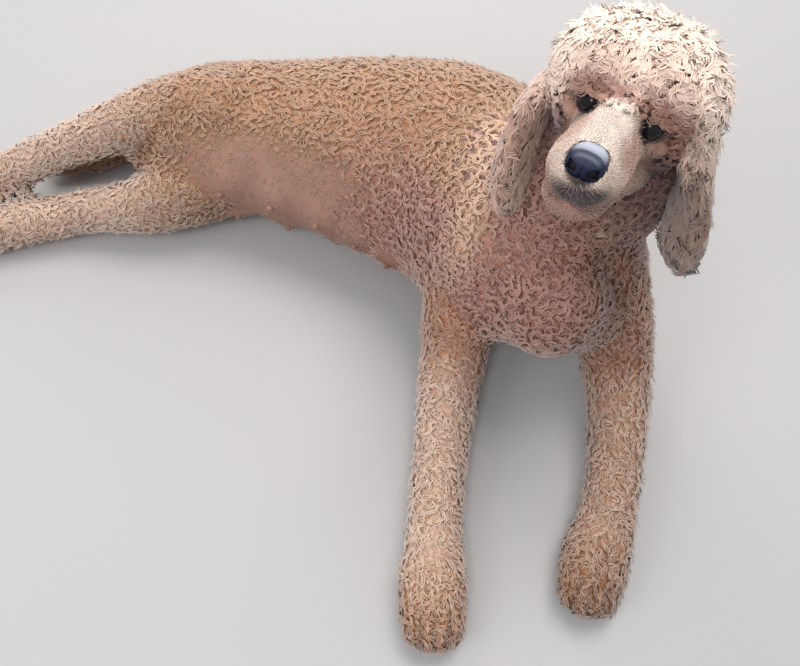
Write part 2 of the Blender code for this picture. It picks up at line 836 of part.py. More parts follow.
def head_body():
    """The head without its ears: skull, jaw, lids and the coat of the crown."""
    shapes = [loft("skull", stations_of(SKULL), sides=20, power=2.3)]
    for blob in SWELLINGS:
        for side in (-1, 1):
            at = (blob.at[0], side * blob.at[1], blob.at[2])
            shapes.append(ball("swelling", at, blob.half))
    for blob in TOPKNOT:
        half = [h - (1 - CROWN_CORE) * TOPKNOT_COAT for h in blob.half]
        shapes.append(ball("crown", blob.at, half, 20, 12))
    head = blended("head_body", shapes, HEAD_VOXEL, 4, HEAD_KEEP)
    for side in (-1, 1):
        axis = Vector((EYE_AXIS.x, side * EYE_AXIS.y, EYE_AXIS.z))
        turn = axis.to_track_quat("X", "Z").to_matrix().to_4x4()
        at = eye_middle(side) + axis * EYE_RADIUS * 1.15
        cut(head, ball("orbit", at, ORBIT_HALF, 12, 8, turn))
    added = [loft("jaw", stations_of(JAW), steps=1, sides=12)]
    added += [lid_ring("lids", side) for side in (-1, 1)]
    united(head, added)
    moved([head], head_frame())
    return head


def with_sockets(head):
    """Cuts the sockets of the eyes and of the nose leather into the head."""
    cutters = [ball("socket", eye_middle(side), [EYE_RADIUS + GAP] * 3, 12, 8) for side in (-1, 1)]
    cutters.append(loft("socket", stations_of(NOSE), steps=1, sides=12, power=2.4, grow=GAP))
    for cutter in moved(cutters, head_frame()):
        cut(head, cutter)
    return largest_only(head)


def nose_body():
    """The nose leather with its two nostrils."""
    nose = loft("nose", stations_of(NOSE), steps=1, sides=12, power=2.4)
    for side in (-1, 1):
        turn = Matrix.Rotation(side * math.radians(25), 4, "Z")
        at = (0.1345, side * 0.0092, -0.0050)
        cut(nose, ball("nostril", at, (0.0055, 0.0036, 0.0042), 8, 6, turn))
    moved([nose], head_frame())
    return nose


def eyes():
    made = []
    for side, word in ((-1, "right"), (1, "left")):
        eye = ball("eye_" + word, eye_middle(side), [EYE_RADIUS] * 3, 12, 8)
        moved([eye], head_frame())
        made.append(eye)
    return made


def dip_ear(ear, stations, outward):
    """Hollows the inner side of an ear into its cup."""
    middle = stations[2]
    away = Vector(middle.back).normalized() * outward
    at = Vector(middle.at) - away * (middle.through + CORE_SHARE * middle.coat + CUP_HALF[1] - CUP_DEPTH)
    turn = away.to_track_quat("Y", "Z").to_matrix().to_4x4()
    cup = ball("cup", at, CUP_HALF, 12, 8, turn)
    moved([cup], head_frame())
    return cut(ear, cup)


FINISHES = {
    "coat": ((0.60, 0.36, 0.20), 0.85),
    "ear_coat": ((0.52, 0.30, 0.17), 0.85),
    "nose_leather": ((0.035, 0.035, 0.045), 0.35),
    "eye": ((0.012, 0.008, 0.006), 0.08),
}


def finish_of(name):
    """The finish that a node has."""
    if name.startswith("eye"):
        return "eye"
    if name.startswith("ear"):
        return "ear_coat"
    return "nose_leather" if name == "nose" else "coat"


def paint(thing, finish):
    """Gives an object the material of a finish."""
    material = bpy.data.materials.get(finish)
    if material is None:
        material = bpy.data.materials.new(finish)
        material.use_nodes = True
        shader = material.node_tree.nodes["Principled BSDF"]
        colour, roughness = FINISHES[finish]
        shader.inputs["Base Color"].default_value = (*colour, 1)
        shader.inputs["Roughness"].default_value = roughness
        shader.inputs["Metallic"].default_value = 0
    thing.data.materials.clear()
    thing.data.materials.append(material)


def set_middle(nodes):
    """Moves the dog so that the middle of its box's base is at the origin."""
    low = [min(v.co[k] for n in nodes for v in n.data.vertices) for k in range(3)]
    high = [max(v.co[k] for n in nodes for v in n.data.vertices) for k in range(3)]
    shift = Vector((-(low[0] + high[0]) / 2, -(low[1] + high[1]) / 2, -low[2]))
    moved(nodes, Matrix.Translation(shift))
    return shift


def clear_scene():
    for old in list(bpy.data.objects):
        bpy.data.objects.remove(old, do_unlink=True)


def body(parts, draw):
    """Trunk, neck, legs and tail in one piece, with their clumps."""
    shapes = [loft(name, stations, CORE_SHARE) for name, stations in parts.items()]
    whole = blended("torso", shapes, BODY_VOXEL, 3, BODY_KEEP)
    united(whole, body_clumps(whole, parts, draw))
    return without_slivers(whole, BODY_SLIVER)


def crowned_head(draw):
    """The head with the clumps of its crown."""
    head = head_body()
    united(head, crown_clumps(head, draw))
    return without_slivers(head, HEAD_SLIVER)


def ear_flap(name, stations, draw):
    """An ear with its locks, hung on the head."""
    ear = loft(name + "_flap", stations, CORE_SHARE, steps=2, sides=10)
    united(ear, ear_clumps(name, ear, stations, draw))
    moved([without_slivers(ear, EAR_SLIVER)], head_frame())
    return ear


def parted(whole, limbs):
    """The whole dog parted into its nodes, each a gap from the next."""
    nodes = []
    for name, stations in EARS.items():
        ear = part_off(whole, name, limb_sleeve(stations, EAR_REACH, head_frame()))
        nodes.append(dip_ear(ear, stations, 1 if name == "ear_left" else -1))
    head = part_off(whole, "head", box_sleeve(HEAD_BOX_AT, HEAD_BOX_HALF, Matrix.Rotation(HEAD_BOX_TILT, 4, "X")))
    nodes.append(with_sockets(head))
    nodes.append(part_off(whole, "neck", limb_sleeve(NECK[1:], LIMB_REACH)))
    for name, stations in limbs.items():
        reach = HINDLEG_REACH if name.startswith("hindleg") else LIMB_REACH
        nodes.append(part_off(whole, name, limb_sleeve(stations[1:], reach)))
    return nodes + [whole]


def main():
    clear_scene()
    draw = np.random.default_rng(SEED)
    limbs = {name: limb(*leg) for name, leg in LEGS.items()}
    limbs["tail"] = TAIL
    whole = body({"trunk": TRUNK, "neck": NECK, **limbs}, draw)
    added = [crowned_head(draw)]
    added += [ear_flap(name, stations, draw) for name, stations in EARS.items()]
    united(whole, added)
    without_slivers(whole, WHOLE_SLIVER)
    united(whole, [claw for leg in LEGS.values() for claw in claws(*leg)])
    nodes = parted(whole, limbs)
    nodes.append(nose_body())
    nodes += eyes()
    for node in nodes:
        cut(node, box_sleeve(FLOOR_AT, FLOOR_HALF, Matrix())(0.0))
        without_slivers(largest_only(node), NODE_SLIVER)
        paint(node, finish_of(node.name))
    set_middle(nodes)
    dog = bpy.data.collections.new("standard_poodle")
    bpy.context.scene.collection.children.link(dog)
    for node in nodes:
        bpy.context.scene.collection.objects.unlink(node)
        dog.objects.link(node)


if __name__ == "__main__":
    main()
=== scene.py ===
"""The looks of a life-size standard poodle that lies on its left hip with its head raised.

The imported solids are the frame. One skin stands for all the nodes of flesh, and locks of
solid mesh grow on it, out to about the solids' own outline. Metres, +Z up. The shapes are worked
out in the pose's own frame, with the front paws near Y 0, and each finished piece is then
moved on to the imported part.
"""

import logging
import math
from dataclasses import dataclass
from enum import Enum

import bmesh
import bpy
import numpy as np
from mathutils import Matrix, Vector
from mathutils.bvhtree import BVHTree


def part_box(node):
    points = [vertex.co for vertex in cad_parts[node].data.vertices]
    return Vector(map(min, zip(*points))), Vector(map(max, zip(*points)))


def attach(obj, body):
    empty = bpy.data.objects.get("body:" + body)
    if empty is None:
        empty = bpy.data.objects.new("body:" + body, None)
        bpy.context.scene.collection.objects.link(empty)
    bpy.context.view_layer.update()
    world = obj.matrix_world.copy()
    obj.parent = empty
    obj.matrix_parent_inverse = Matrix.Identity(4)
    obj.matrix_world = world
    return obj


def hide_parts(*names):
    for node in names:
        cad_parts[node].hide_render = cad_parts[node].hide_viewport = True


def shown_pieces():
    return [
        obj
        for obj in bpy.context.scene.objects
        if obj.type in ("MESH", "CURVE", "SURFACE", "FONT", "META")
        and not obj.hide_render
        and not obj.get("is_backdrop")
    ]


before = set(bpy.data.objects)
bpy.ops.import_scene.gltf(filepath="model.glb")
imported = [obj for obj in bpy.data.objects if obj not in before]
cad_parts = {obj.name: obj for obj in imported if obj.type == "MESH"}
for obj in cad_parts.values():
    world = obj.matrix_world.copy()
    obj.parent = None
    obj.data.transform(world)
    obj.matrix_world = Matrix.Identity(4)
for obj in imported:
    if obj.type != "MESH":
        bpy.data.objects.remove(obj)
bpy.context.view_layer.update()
MOST_TRIANGLES = 190_000
SEED = 23
ROOT_BODY = "root"

# How finely curves and round ends are laid out.
CURVE_STEP = 0.05
CAP_REACH = (0.2, 0.45, 0.7, 0.88, 0.97)

# The columns of a spine's rows, after the part's number and the share of its length.
MIDDLE, SIZE, BACK, ALONG = slice(2, 5), 5, slice(7, 10), slice(10, 13)

# No strand comes nearer to the floor than this, and no skin nearer than the other.
STRAND_CLEARANCE = 0.0012
SKIN_CLEARANCE = 0.002

log = logging.getLogger("poodle")

Array = np.ndarray
Draw = np.random.Generator
Material = bpy.types.Material
NodeTree = bpy.types.NodeTree
Socket = bpy.types.NodeSocket
Thing = bpy.types.Object


class Region(Enum):
    """The parts of the coat, named as the pieces that carry them."""

    TRUNK = "trunk"
    CHEST = "chest"
    NECK = "neck"
    FORELEG_RIGHT = "foreleg_right"
    FORELEG_LEFT = "foreleg_left"
    HINDLEG_RIGHT = "hindleg_right"
    HINDLEG_LEFT = "hindleg_left"
    TAIL = "tail"
    EAR_RIGHT = "ear_right"
    EAR_LEFT = "ear_left"


class Slot(Enum):
    """The record's material slots."""

    COAT = "coat"
    EAR = "ear_coat"
    NOSE = "nose_leather"
    EYE = "eye"


@dataclass(frozen=True)
class Station:
    """A cross-section of a limb or of the trunk: where, half sizes, way of the back, coat's depth."""

    at: tuple
    across: float
    through: float
    back: tuple
    coat: float


@dataclass(frozen=True)
class Section:
    """A cross-section of the head, in the head's own frame."""

    x: float
    top: float
    bottom: float
    half_width: float


@dataclass(frozen=True)
class Blob:
    """A rounded swelling: its middle and its half sizes."""

    at: tuple
    half: tuple


@dataclass(frozen=True)
class Fold:
    """A crease (depth under 0) or ridge that runs along a path on both sides of the head."""

    path: tuple
    width: float
    depth: float


def linear(shade: str) -> Array:
    """Turns a named shade into linear colour.

    Args:
        shade: The shade as "#rrggbb".

    Returns:
        Red, green and blue as linear values.
    """
    values = np.array([int(shade[i : i + 2], 16) / 255 for i in (1, 3, 5)])
    return np.where(values <= 0.04045, values / 12.92, ((values + 0.055) / 1.055) ** 2.4)


def unit(rows: Array) -> Array:
    """Rows scaled to length one."""
    return rows / np.maximum(np.linalg.norm(rows, axis=-1, keepdims=True), 1e-12)


def soft_step(values: Array, low: float, high: float) -> Array:
    """A smooth rise from 0 at low to 1 at high."""
    t = np.clip((values - low) / (high - low), 0, 1)
    return t * t * (3 - 2 * t)


def on_curve(rows: Array, place: float) -> Array:
    """A value on the smooth curve through some rows.

    Args:
        rows: The values that the curve passes through.
        place: How far along, counted in rows.

    Returns:
        The value there.
    """
    last = len(rows) - 1
    i = min(int(place), last - 1)
    t = place - i
    p0, p1 = rows[max(i - 1, 0)], rows[i]
    p2, p3 = rows[i + 1], rows[min(i + 2, last)]
    bend = (2 * p0 - 5 * p1 + 4 * p2 - p3) * t * t
    return 0.5 * (2 * p1 + (p2 - p0) * t + bend + (3 * p1 - p0 - 3 * p2 + p3) * t**3)


def curve_frame(stations: tuple, place: float) -> tuple:
    """Finds where the curve through some stations runs.

    Args:
        stations: The stations.
        place: How far along, counted in stations.

    Returns:
        The middle there, the way along, and the way of the back at right angles to it.
    """
    centres = np.array([s.at for s in stations], float)
    backs = np.array([s.back for s in stations], float)
    last = len(stations) - 1
    after, before = min(place + CURVE_STEP, last), max(place - CURVE_STEP, 0)
    along = unit(on_curve(centres, after) - on_curve(centres, before))
    back = on_curve(backs, place)
    return on_curve(centres, place), along, unit(back - along * back.dot(along))


def placed(name: str, data: bpy.types.ID) -> Thing:
    """Makes an object of some data and puts it in the scene."""
    made = bpy.data.objects.new(name, data)
    bpy.context.scene.collection.objects.link(made)
    return made


def from_bmesh(name: str, mesh: bmesh.types.BMesh) -> Thing:
    """Makes an object of a working mesh, which is freed."""
    data = bpy.data.meshes.new(name)
    mesh.to_mesh(data)
    mesh.free()
    return placed(name, data)


def drop(thing: Thing) -> None:
    """Removes an object that has served."""
    bpy.data.objects.remove(thing, do_unlink=True)


def add_mesh(name: str, points: Array, faces: list) -> Thing:
    """Makes an object from points and faces.

    Args:
        name: The object's name.
        points: One row a vertex.
        faces: Vertex numbers of each face.

    Returns:
        The new object.
    """
    data = bpy.data.meshes.new(name)
    data.from_pydata([tuple(p) for p in points], [], [tuple(f) for f in faces])
    data.update()
    return placed(name, data)


def loft(
    name: str,
    stations: tuple,
    share: float = 0.0,
    grow: float = 0.0,
    thin: float = 1.0,
    power: float = 2.0,
    steps: int = 8,
    sides: int = 40,
) -> Thing:
    """Makes a closed body through rounded stations, with round ends.

    Args:
        name: The object's name.
        stations: The cross-sections, from one end to the other.
        share: How much of the coat's depth the body takes in.
        grow: A length that is added to every size.
        thin: A factor on the thickness.
        power: Over 2 it squares the section off.
        steps: Rings between two stations.
        sides: Points of a ring.

    Returns:
        The new object.
    """
    sizes = [(s.across + share * s.coat, s.through * thin + share * s.coat) for s in stations]
    sizes = np.array(sizes) + grow
    last = len(stations) - 1
    rings = []
    for place in np.linspace(0, last, last * steps + 1):
        at, along, back = curve_frame(stations, place)
        rings.append((at, along, np.cross(along, back), back, on_curve(sizes, place)))
    full = [cap_ring(rings[0], -1, t) for t in CAP_REACH[::-1]] + rings
    full += [cap_ring(rings[-1], 1, t) for t in CAP_REACH]
    turn = 2 * math.pi * np.arange(sides) / sides
    x = np.copysign(np.abs(np.cos(turn)) ** (2 / power), np.cos(turn))[:, None]
    y = np.copysign(np.abs(np.sin(turn)) ** (2 / power), np.sin(turn))[:, None]
    points = np.concatenate([at + side * size[0] * x + back * size[1] * y for at, _, side, back, size in full])
    faces = [list(range(sides))[::-1]]
    for ring in range(len(full) - 1):
        for k in range(sides):
            a, b = ring * sides + k, ring * sides + (k + 1) % sides
            faces.append((a, b, b + sides, a + sides))
    faces.append(list(range((len(full) - 1) * sides, len(full) * sides)))
    return add_mesh(name, points, faces)


def cap_ring(ring: tuple, sign: int, reach: float) -> tuple:
    """One ring of a round end.

    Args:
        ring: The last full ring.
        sign: 1 past the end of the body and -1 before its start.
        reach: How far out, as a share of the end's smaller half size.

    Returns:
        The ring moved out and made smaller.
    """
    at, along, side, back, size = ring
    return at + along * sign * reach * min(size), along, side, back, size * math.sqrt(1 - reach * reach)


def ball(name: str, at: tuple, half: tuple, turn: Matrix = Matrix(), finer: int = 1) -> Thing:
    """Makes a ball of three half sizes.

    Args:
        name: The object's name.
        at: Its middle.
        half: Its half sizes.
        turn: A matrix that turns it.
        finer: A factor on the number of its faces.

    Returns:
        The new object.
    """
    mesh = bmesh.new()
    place = Matrix.Translation(at) @ turn @ Matrix.Diagonal((*half, 1))
    bmesh.ops.create_uvsphere(mesh, u_segments=24 * finer, v_segments=16 * finer, radius=1, matrix=place)
    return from_bmesh(name, mesh)


def settle(thing: Thing) -> Thing:
    """Replaces an object's mesh and modifiers by what they evaluate to."""
    graph = bpy.context.evaluated_depsgraph_get()
    made = bpy.data.meshes.new_from_object(thing.evaluated_get(graph))
    thing.modifiers.clear()
    thing.data = made
    return thing


def joined(name: str, things: list) -> Thing:
    """Puts the faces of several objects in one and removes the others.

    Args:
        name: The new object's name.
        things: The objects.

    Returns:
        The new object.
    """
    mesh = bmesh.new()
    for thing in things:
        mesh.from_mesh(thing.data)
        drop(thing)
    return from_bmesh(name, mesh)


def fused(name: str, things: list, voxel: float, passes: int) -> Thing:
    """Makes several overlapping bodies one smooth surface.

    Args:
        name: The new object's name.
        things: The bodies, which are removed.
        voxel: How finely the surface is made.
        passes: How often it is smoothed.

    Returns:
        The new object.
    """
    made = joined(name, things)
    remesh = made.modifiers.new("blend", "REMESH")
    remesh.mode = "VOXEL"
    remesh.voxel_size = voxel
    smooth = made.modifiers.new("smooth", "SMOOTH")
    smooth.iterations = passes
    return settle(made)


def boolean(base: Thing, other: Thing, operation: str) -> Thing:
    """Joins or cuts one body with another, which is removed.

    Args:
        base: The body that stays.
        other: The other body.
        operation: "UNION" or "DIFFERENCE".

    Returns:
        The base.
    """
    step = base.modifiers.new("boolean", "BOOLEAN")
    step.operation = operation
    step.object = other
    step.solver = "MANIFOLD"
    settle(base)
    drop(other)
    return base


def points_of(thing: Thing) -> Array:
    """The vertices of an object, one row each."""
    rows = np.empty(len(thing.data.vertices) * 3)
    thing.data.vertices.foreach_get("co", rows)
    return rows.reshape(-1, 3)


def normals_of(thing: Thing) -> Array:
    """The vertex normals of an object, one row each."""
    rows = np.empty(len(thing.data.vertices) * 3, np.float32)
    thing.data.vertex_normals.foreach_get("vector", rows)
    return rows.reshape(-1, 3).astype(float)


def set_points(thing: Thing, points: Array) -> None:
    """Moves the vertices of an object to some points."""
    thing.data.vertices.foreach_set("co", points.ravel())
    thing.data.update()


def tree_of(thing: Thing) -> BVHTree:
    """A search tree over the faces of an object."""
    mesh = bmesh.new()
    mesh.from_mesh(thing.data)
    made = BVHTree.FromBMesh(mesh)
    mesh.free()
    return made


@dataclass(frozen=True)
class HeadFrame:
    """Where the head is: X to the nose, Y to the dog's left, Z to the crown."""

    at: tuple = (0.2007, 0.4455, 0.4365)
    forward: tuple = (-0.430, -0.762, 0.482)
    left: tuple = (0.837, -0.553, 0.0122)

    def matrix(self) -> Matrix:
        """The matrix from the head's own frame to the pose's."""
        forward = Vector(self.forward).normalized()
        up = forward.cross(Vector(self.left).normalized()).normalized()
        turn = Matrix((forward, up.cross(forward), up)).transposed().to_4x4()
        return Matrix.Translation(self.at) @ turn

    def inward(self, points: Array) -> Array:
        """Points of the pose's frame in the head's own."""
        back = np.array(self.matrix().inverted())
        return points @ back[:3, :3].T + back[:3, 3]

    def outward(self, points: Array) -> Array:
        """Points of the head's own frame in the pose's."""
        there = np.array(self.matrix())
        return points @ there[:3, :3].T + there[:3, 3]

    def turned(self, rows: Array) -> Array:
        """Directions of the head's own frame in the pose's."""
        return rows @ np.array(self.matrix())[:3, :3].T


HEAD = HeadFrame()


@dataclass(frozen=True)
class EyeSizes:
    """The sizes of an eye and of its lids, in the head's own frame."""

    spacing: float = 0.068
    seat: float = 0.0118
    radius: float = 0.0125
    front: float = 0.013
    rise: float = 0.003
    axis: tuple = (0.87, 0.46, 0.10)
    opening: tuple = (0.0119, 0.0096)
    lid: float = 0.0014

    def axis_of(self, side: int) -> Vector:
        """The way that an eye looks; side is 1 for the left and -1 for the right."""
        return Vector((self.axis[0], side * self.axis[1], self.axis[2])).normalized()

    def middle(self, side: int) -> Vector:
        """The middle of an eyeball."""
        return Vector((self.front, side * self.spacing / 2, self.rise)) - self.axis_of(side) * self.seat

    def turn(self, side: int) -> Matrix:
        """The matrix that turns X to the way that an eye looks."""
        return self.axis_of(side).to_track_quat("X", "Z").to_matrix().to_4x4()

    def rim(self, side: int, count: int = 40) -> Array:
        """Points along the rim of the lids, on the eyeball.

        Args:
            side: 1 for the left eye and -1 for the right.
            count: How many points.

        Returns:
            The points in the head's own frame.
        """
        a = 2 * math.pi * np.arange(count) / count
        y = self.opening[0] * np.cos(a)
        z = self.opening[1] * np.sin(a) * (0.78 + 0.22 * np.sin(a) ** 2)
        x = np.sqrt((self.radius + 0.0006) ** 2 - y * y - z * z)
        place = np.array(Matrix.Translation(self.middle(side)) @ self.turn(side))
        return np.stack([x, y, z], 1) @ place[:3, :3].T + place[:3, 3]


EYE = EyeSizes()


def shift_to_frame() -> Vector:
    """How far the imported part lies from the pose's own frame."""
    low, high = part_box("eye_left")
    return (low + high) / 2 - HEAD.matrix() @ EYE.middle(1)


SHIFT = shift_to_frame()


def set_down(piece: Thing, material: Material) -> Thing:
    """Gives a piece its finish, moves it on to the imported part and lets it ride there.

    Args:
        piece: The piece, still in the pose's own frame.
        material: Its finish.

    Returns:
        The piece.
    """
    piece.data.materials.append(material)
    piece.data.transform(Matrix.Translation(SHIFT))
    piece.data.polygons.foreach_set("use_smooth", np.ones(len(piece.data.polygons), bool))
    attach(piece, ROOT_BODY)
    return piece


@dataclass(frozen=True)
class Body:
    """The stations of trunk, neck, legs and tail, at the skin, with the coat's depth at each."""

    body_coat: float = 0.024
    chest_coat: float = 0.028
    leg_coat: float = 0.021
    foot_coat: float = 0.016
    tail_coat: float = 0.028
    fillers: tuple = (
        Blob((0.222, 0.398, 0.150), (0.040, 0.036, 0.040)),
        Blob((0.142, 0.410, 0.145), (0.036, 0.036, 0.040)),
    )

    def shapes(self, share: float) -> list:
        """Every part as a closed body that takes in a share of the coat's depth."""
        made = [loft(region.value, stations, share=share) for region, stations in self.parts().items()]
        return made + [ball("filler", b.at, [h + share * self.chest_coat for h in b.half]) for b in self.fillers]

    def trunk(self) -> tuple:
        """From the rump to the front of the chest."""
        body, chest = self.body_coat, self.chest_coat
        return (
            Station((-0.350, 0.700, 0.092), 0.040, 0.045, (0, 0.97, 0.25), body),
            Station((-0.285, 0.698, 0.102), 0.078, 0.078, (0, 0.97, 0.25), body),
            Station((-0.150, 0.678, 0.107), 0.083, 0.098, (0, 0.95, 0.30), body),
            Station((-0.020, 0.642, 0.119), 0.096, 0.119, (0.05, 0.90, 0.43), body),
            Station((0.080, 0.588, 0.140), 0.102, 0.128, (0.18, 0.76, 0.64), body),
            Station((0.135, 0.505, 0.158), 0.098, 0.120, (0.22, 0.52, 0.82), chest),
            Station((0.168, 0.430, 0.172), 0.078, 0.092, (0.15, 0.35, 0.92), chest),
            Station((0.182, 0.388, 0.182), 0.045, 0.052, (0.10, 0.30, 0.95), chest),
        )

    def neck(self) -> tuple:
        """From between the shoulders to the back of the skull."""
        return (
            Station((0.140, 0.500, 0.160), 0.080, 0.090, (0.1, 0.90, 0.2), self.chest_coat),
            Station((0.201, 0.503, 0.238), 0.084, 0.074, (0.1, 0.98, 0.1), self.chest_coat),
            Station((0.229, 0.510, 0.300), 0.075, 0.062, (0.2, 0.95, 0.0), 0.026),
            Station((0.240, 0.514, 0.355), 0.060, 0.058, (0.3, 0.90, 0.2), 0.022),
            Station((0.245, 0.514, 0.390), 0.044, 0.046, (0.3, 0.80, 0.4), 0.018),
        )

    def foreleg(self, joints: tuple) -> tuple:
        """A foreleg from the elbow's inside to the toes."""
        leg, foot = self.leg_coat, self.foot_coat
        girths = (
            (0.048, 0.060, self.chest_coat),
            (0.037, 0.048, leg),
            (0.027, 0.033, leg),
            (0.019, 0.023, leg),
            (0.017, 0.018, leg),
            (0.028, 0.019, foot),
            (0.023, 0.014, foot),
        )
        return limb(joints, girths)

    def hindleg(self, joints: tuple, girths: tuple) -> tuple:
        """A hind leg from the hip to the toes, whose half sizes at the joints are given."""
        depths = (self.body_coat,) * 2 + (self.leg_coat,) * 4 + (self.foot_coat,) * 2
        return limb(joints, tuple((*girth, depth) for girth, depth in zip(girths, depths)))

    def tail(self) -> tuple:
        """The docked tail, laid back along the floor."""
        return (
            Station((-0.335, 0.712, 0.090), 0.026, 0.026, (0, 0.3, 0.95), self.body_coat),
            Station((-0.385, 0.735, 0.068), 0.017, 0.017, (0, 0.3, 0.95), 0.022),
            Station((-0.440, 0.738, 0.042), 0.012, 0.012, (0, 0.2, 0.98), self.tail_coat),
            Station((-0.495, 0.724, 0.034), 0.010, 0.010, (0, 0.0, 1.00), self.tail_coat),
            Station((-0.530, 0.712, 0.029), 0.007, 0.007, (0, 0.0, 1.00), 0.024),
        )

    def parts(self) -> dict:
        """The stations of each part by its region."""
        return {
            Region.TRUNK: self.trunk(),
            Region.NECK: self.neck(),
            Region.FORELEG_RIGHT: self.foreleg(FORELEG_RIGHT),
            Region.FORELEG_LEFT: self.foreleg(FORELEG_LEFT),
            Region.HINDLEG_LEFT: self.hindleg(HINDLEG_LEFT, HIND_GIRTHS_LEFT),
            Region.HINDLEG_RIGHT: self.hindleg(HINDLEG_RIGHT, HIND_GIRTHS_RIGHT),
            Region.TAIL: self.tail(),
        }


def limb(joints: tuple, girths: tuple) -> tuple:
    """Stations for a leg whose joints and girths are given."""
    return tuple(Station(at, a, t, (0, 0, 1), coat) for at, (a, t, coat) in zip(joints, girths))


FORELEG_RIGHT = (
    (0.105, 0.470, 0.165), (0.085, 0.425, 0.108), (0.072, 0.365, 0.058),
    (0.055, 0.250, 0.040), (0.044, 0.150, 0.036), (0.040, 0.070, 0.030),
    (0.040, 0.024, 0.025),
)
FORELEG_LEFT = (
    (0.232, 0.460, 0.165), (0.268, 0.406, 0.112), (0.289, 0.346, 0.060),
    (0.283, 0.252, 0.040), (0.265, 0.172, 0.036), (0.242, 0.106, 0.030),
    (0.228, 0.062, 0.025),
)
HINDLEG_RIGHT = (
    (-0.255, 0.690, 0.138), (-0.315, 0.698, 0.152), (-0.385, 0.680, 0.148),
    (-0.480, 0.662, 0.122), (-0.580, 0.647, 0.082), (-0.665, 0.641, 0.052),
    (-0.742, 0.630, 0.030), (-0.788, 0.622, 0.023),
)
HINDLEG_LEFT = (
    (-0.260, 0.665, 0.085), (-0.310, 0.628, 0.074), (-0.375, 0.604, 0.060),
    (-0.465, 0.602, 0.047), (-0.560, 0.586, 0.039), (-0.645, 0.568, 0.034),
    (-0.715, 0.553, 0.030), (-0.760, 0.546, 0.023),
)
HIND_TOES = ((0.023, 0.018), (0.022, 0.013))
HIND_GIRTHS_RIGHT = (
    (0.046, 0.066), (0.026, 0.036), (0.018, 0.026), (0.011, 0.014), (0.011, 0.014),
    (0.014, 0.016), *HIND_TOES,
)
HIND_GIRTHS_LEFT = (
    (0.044, 0.062), (0.036, 0.050), (0.022, 0.031), (0.013, 0.019), (0.014, 0.017),
    (0.015, 0.018), *HIND_TOES,
)


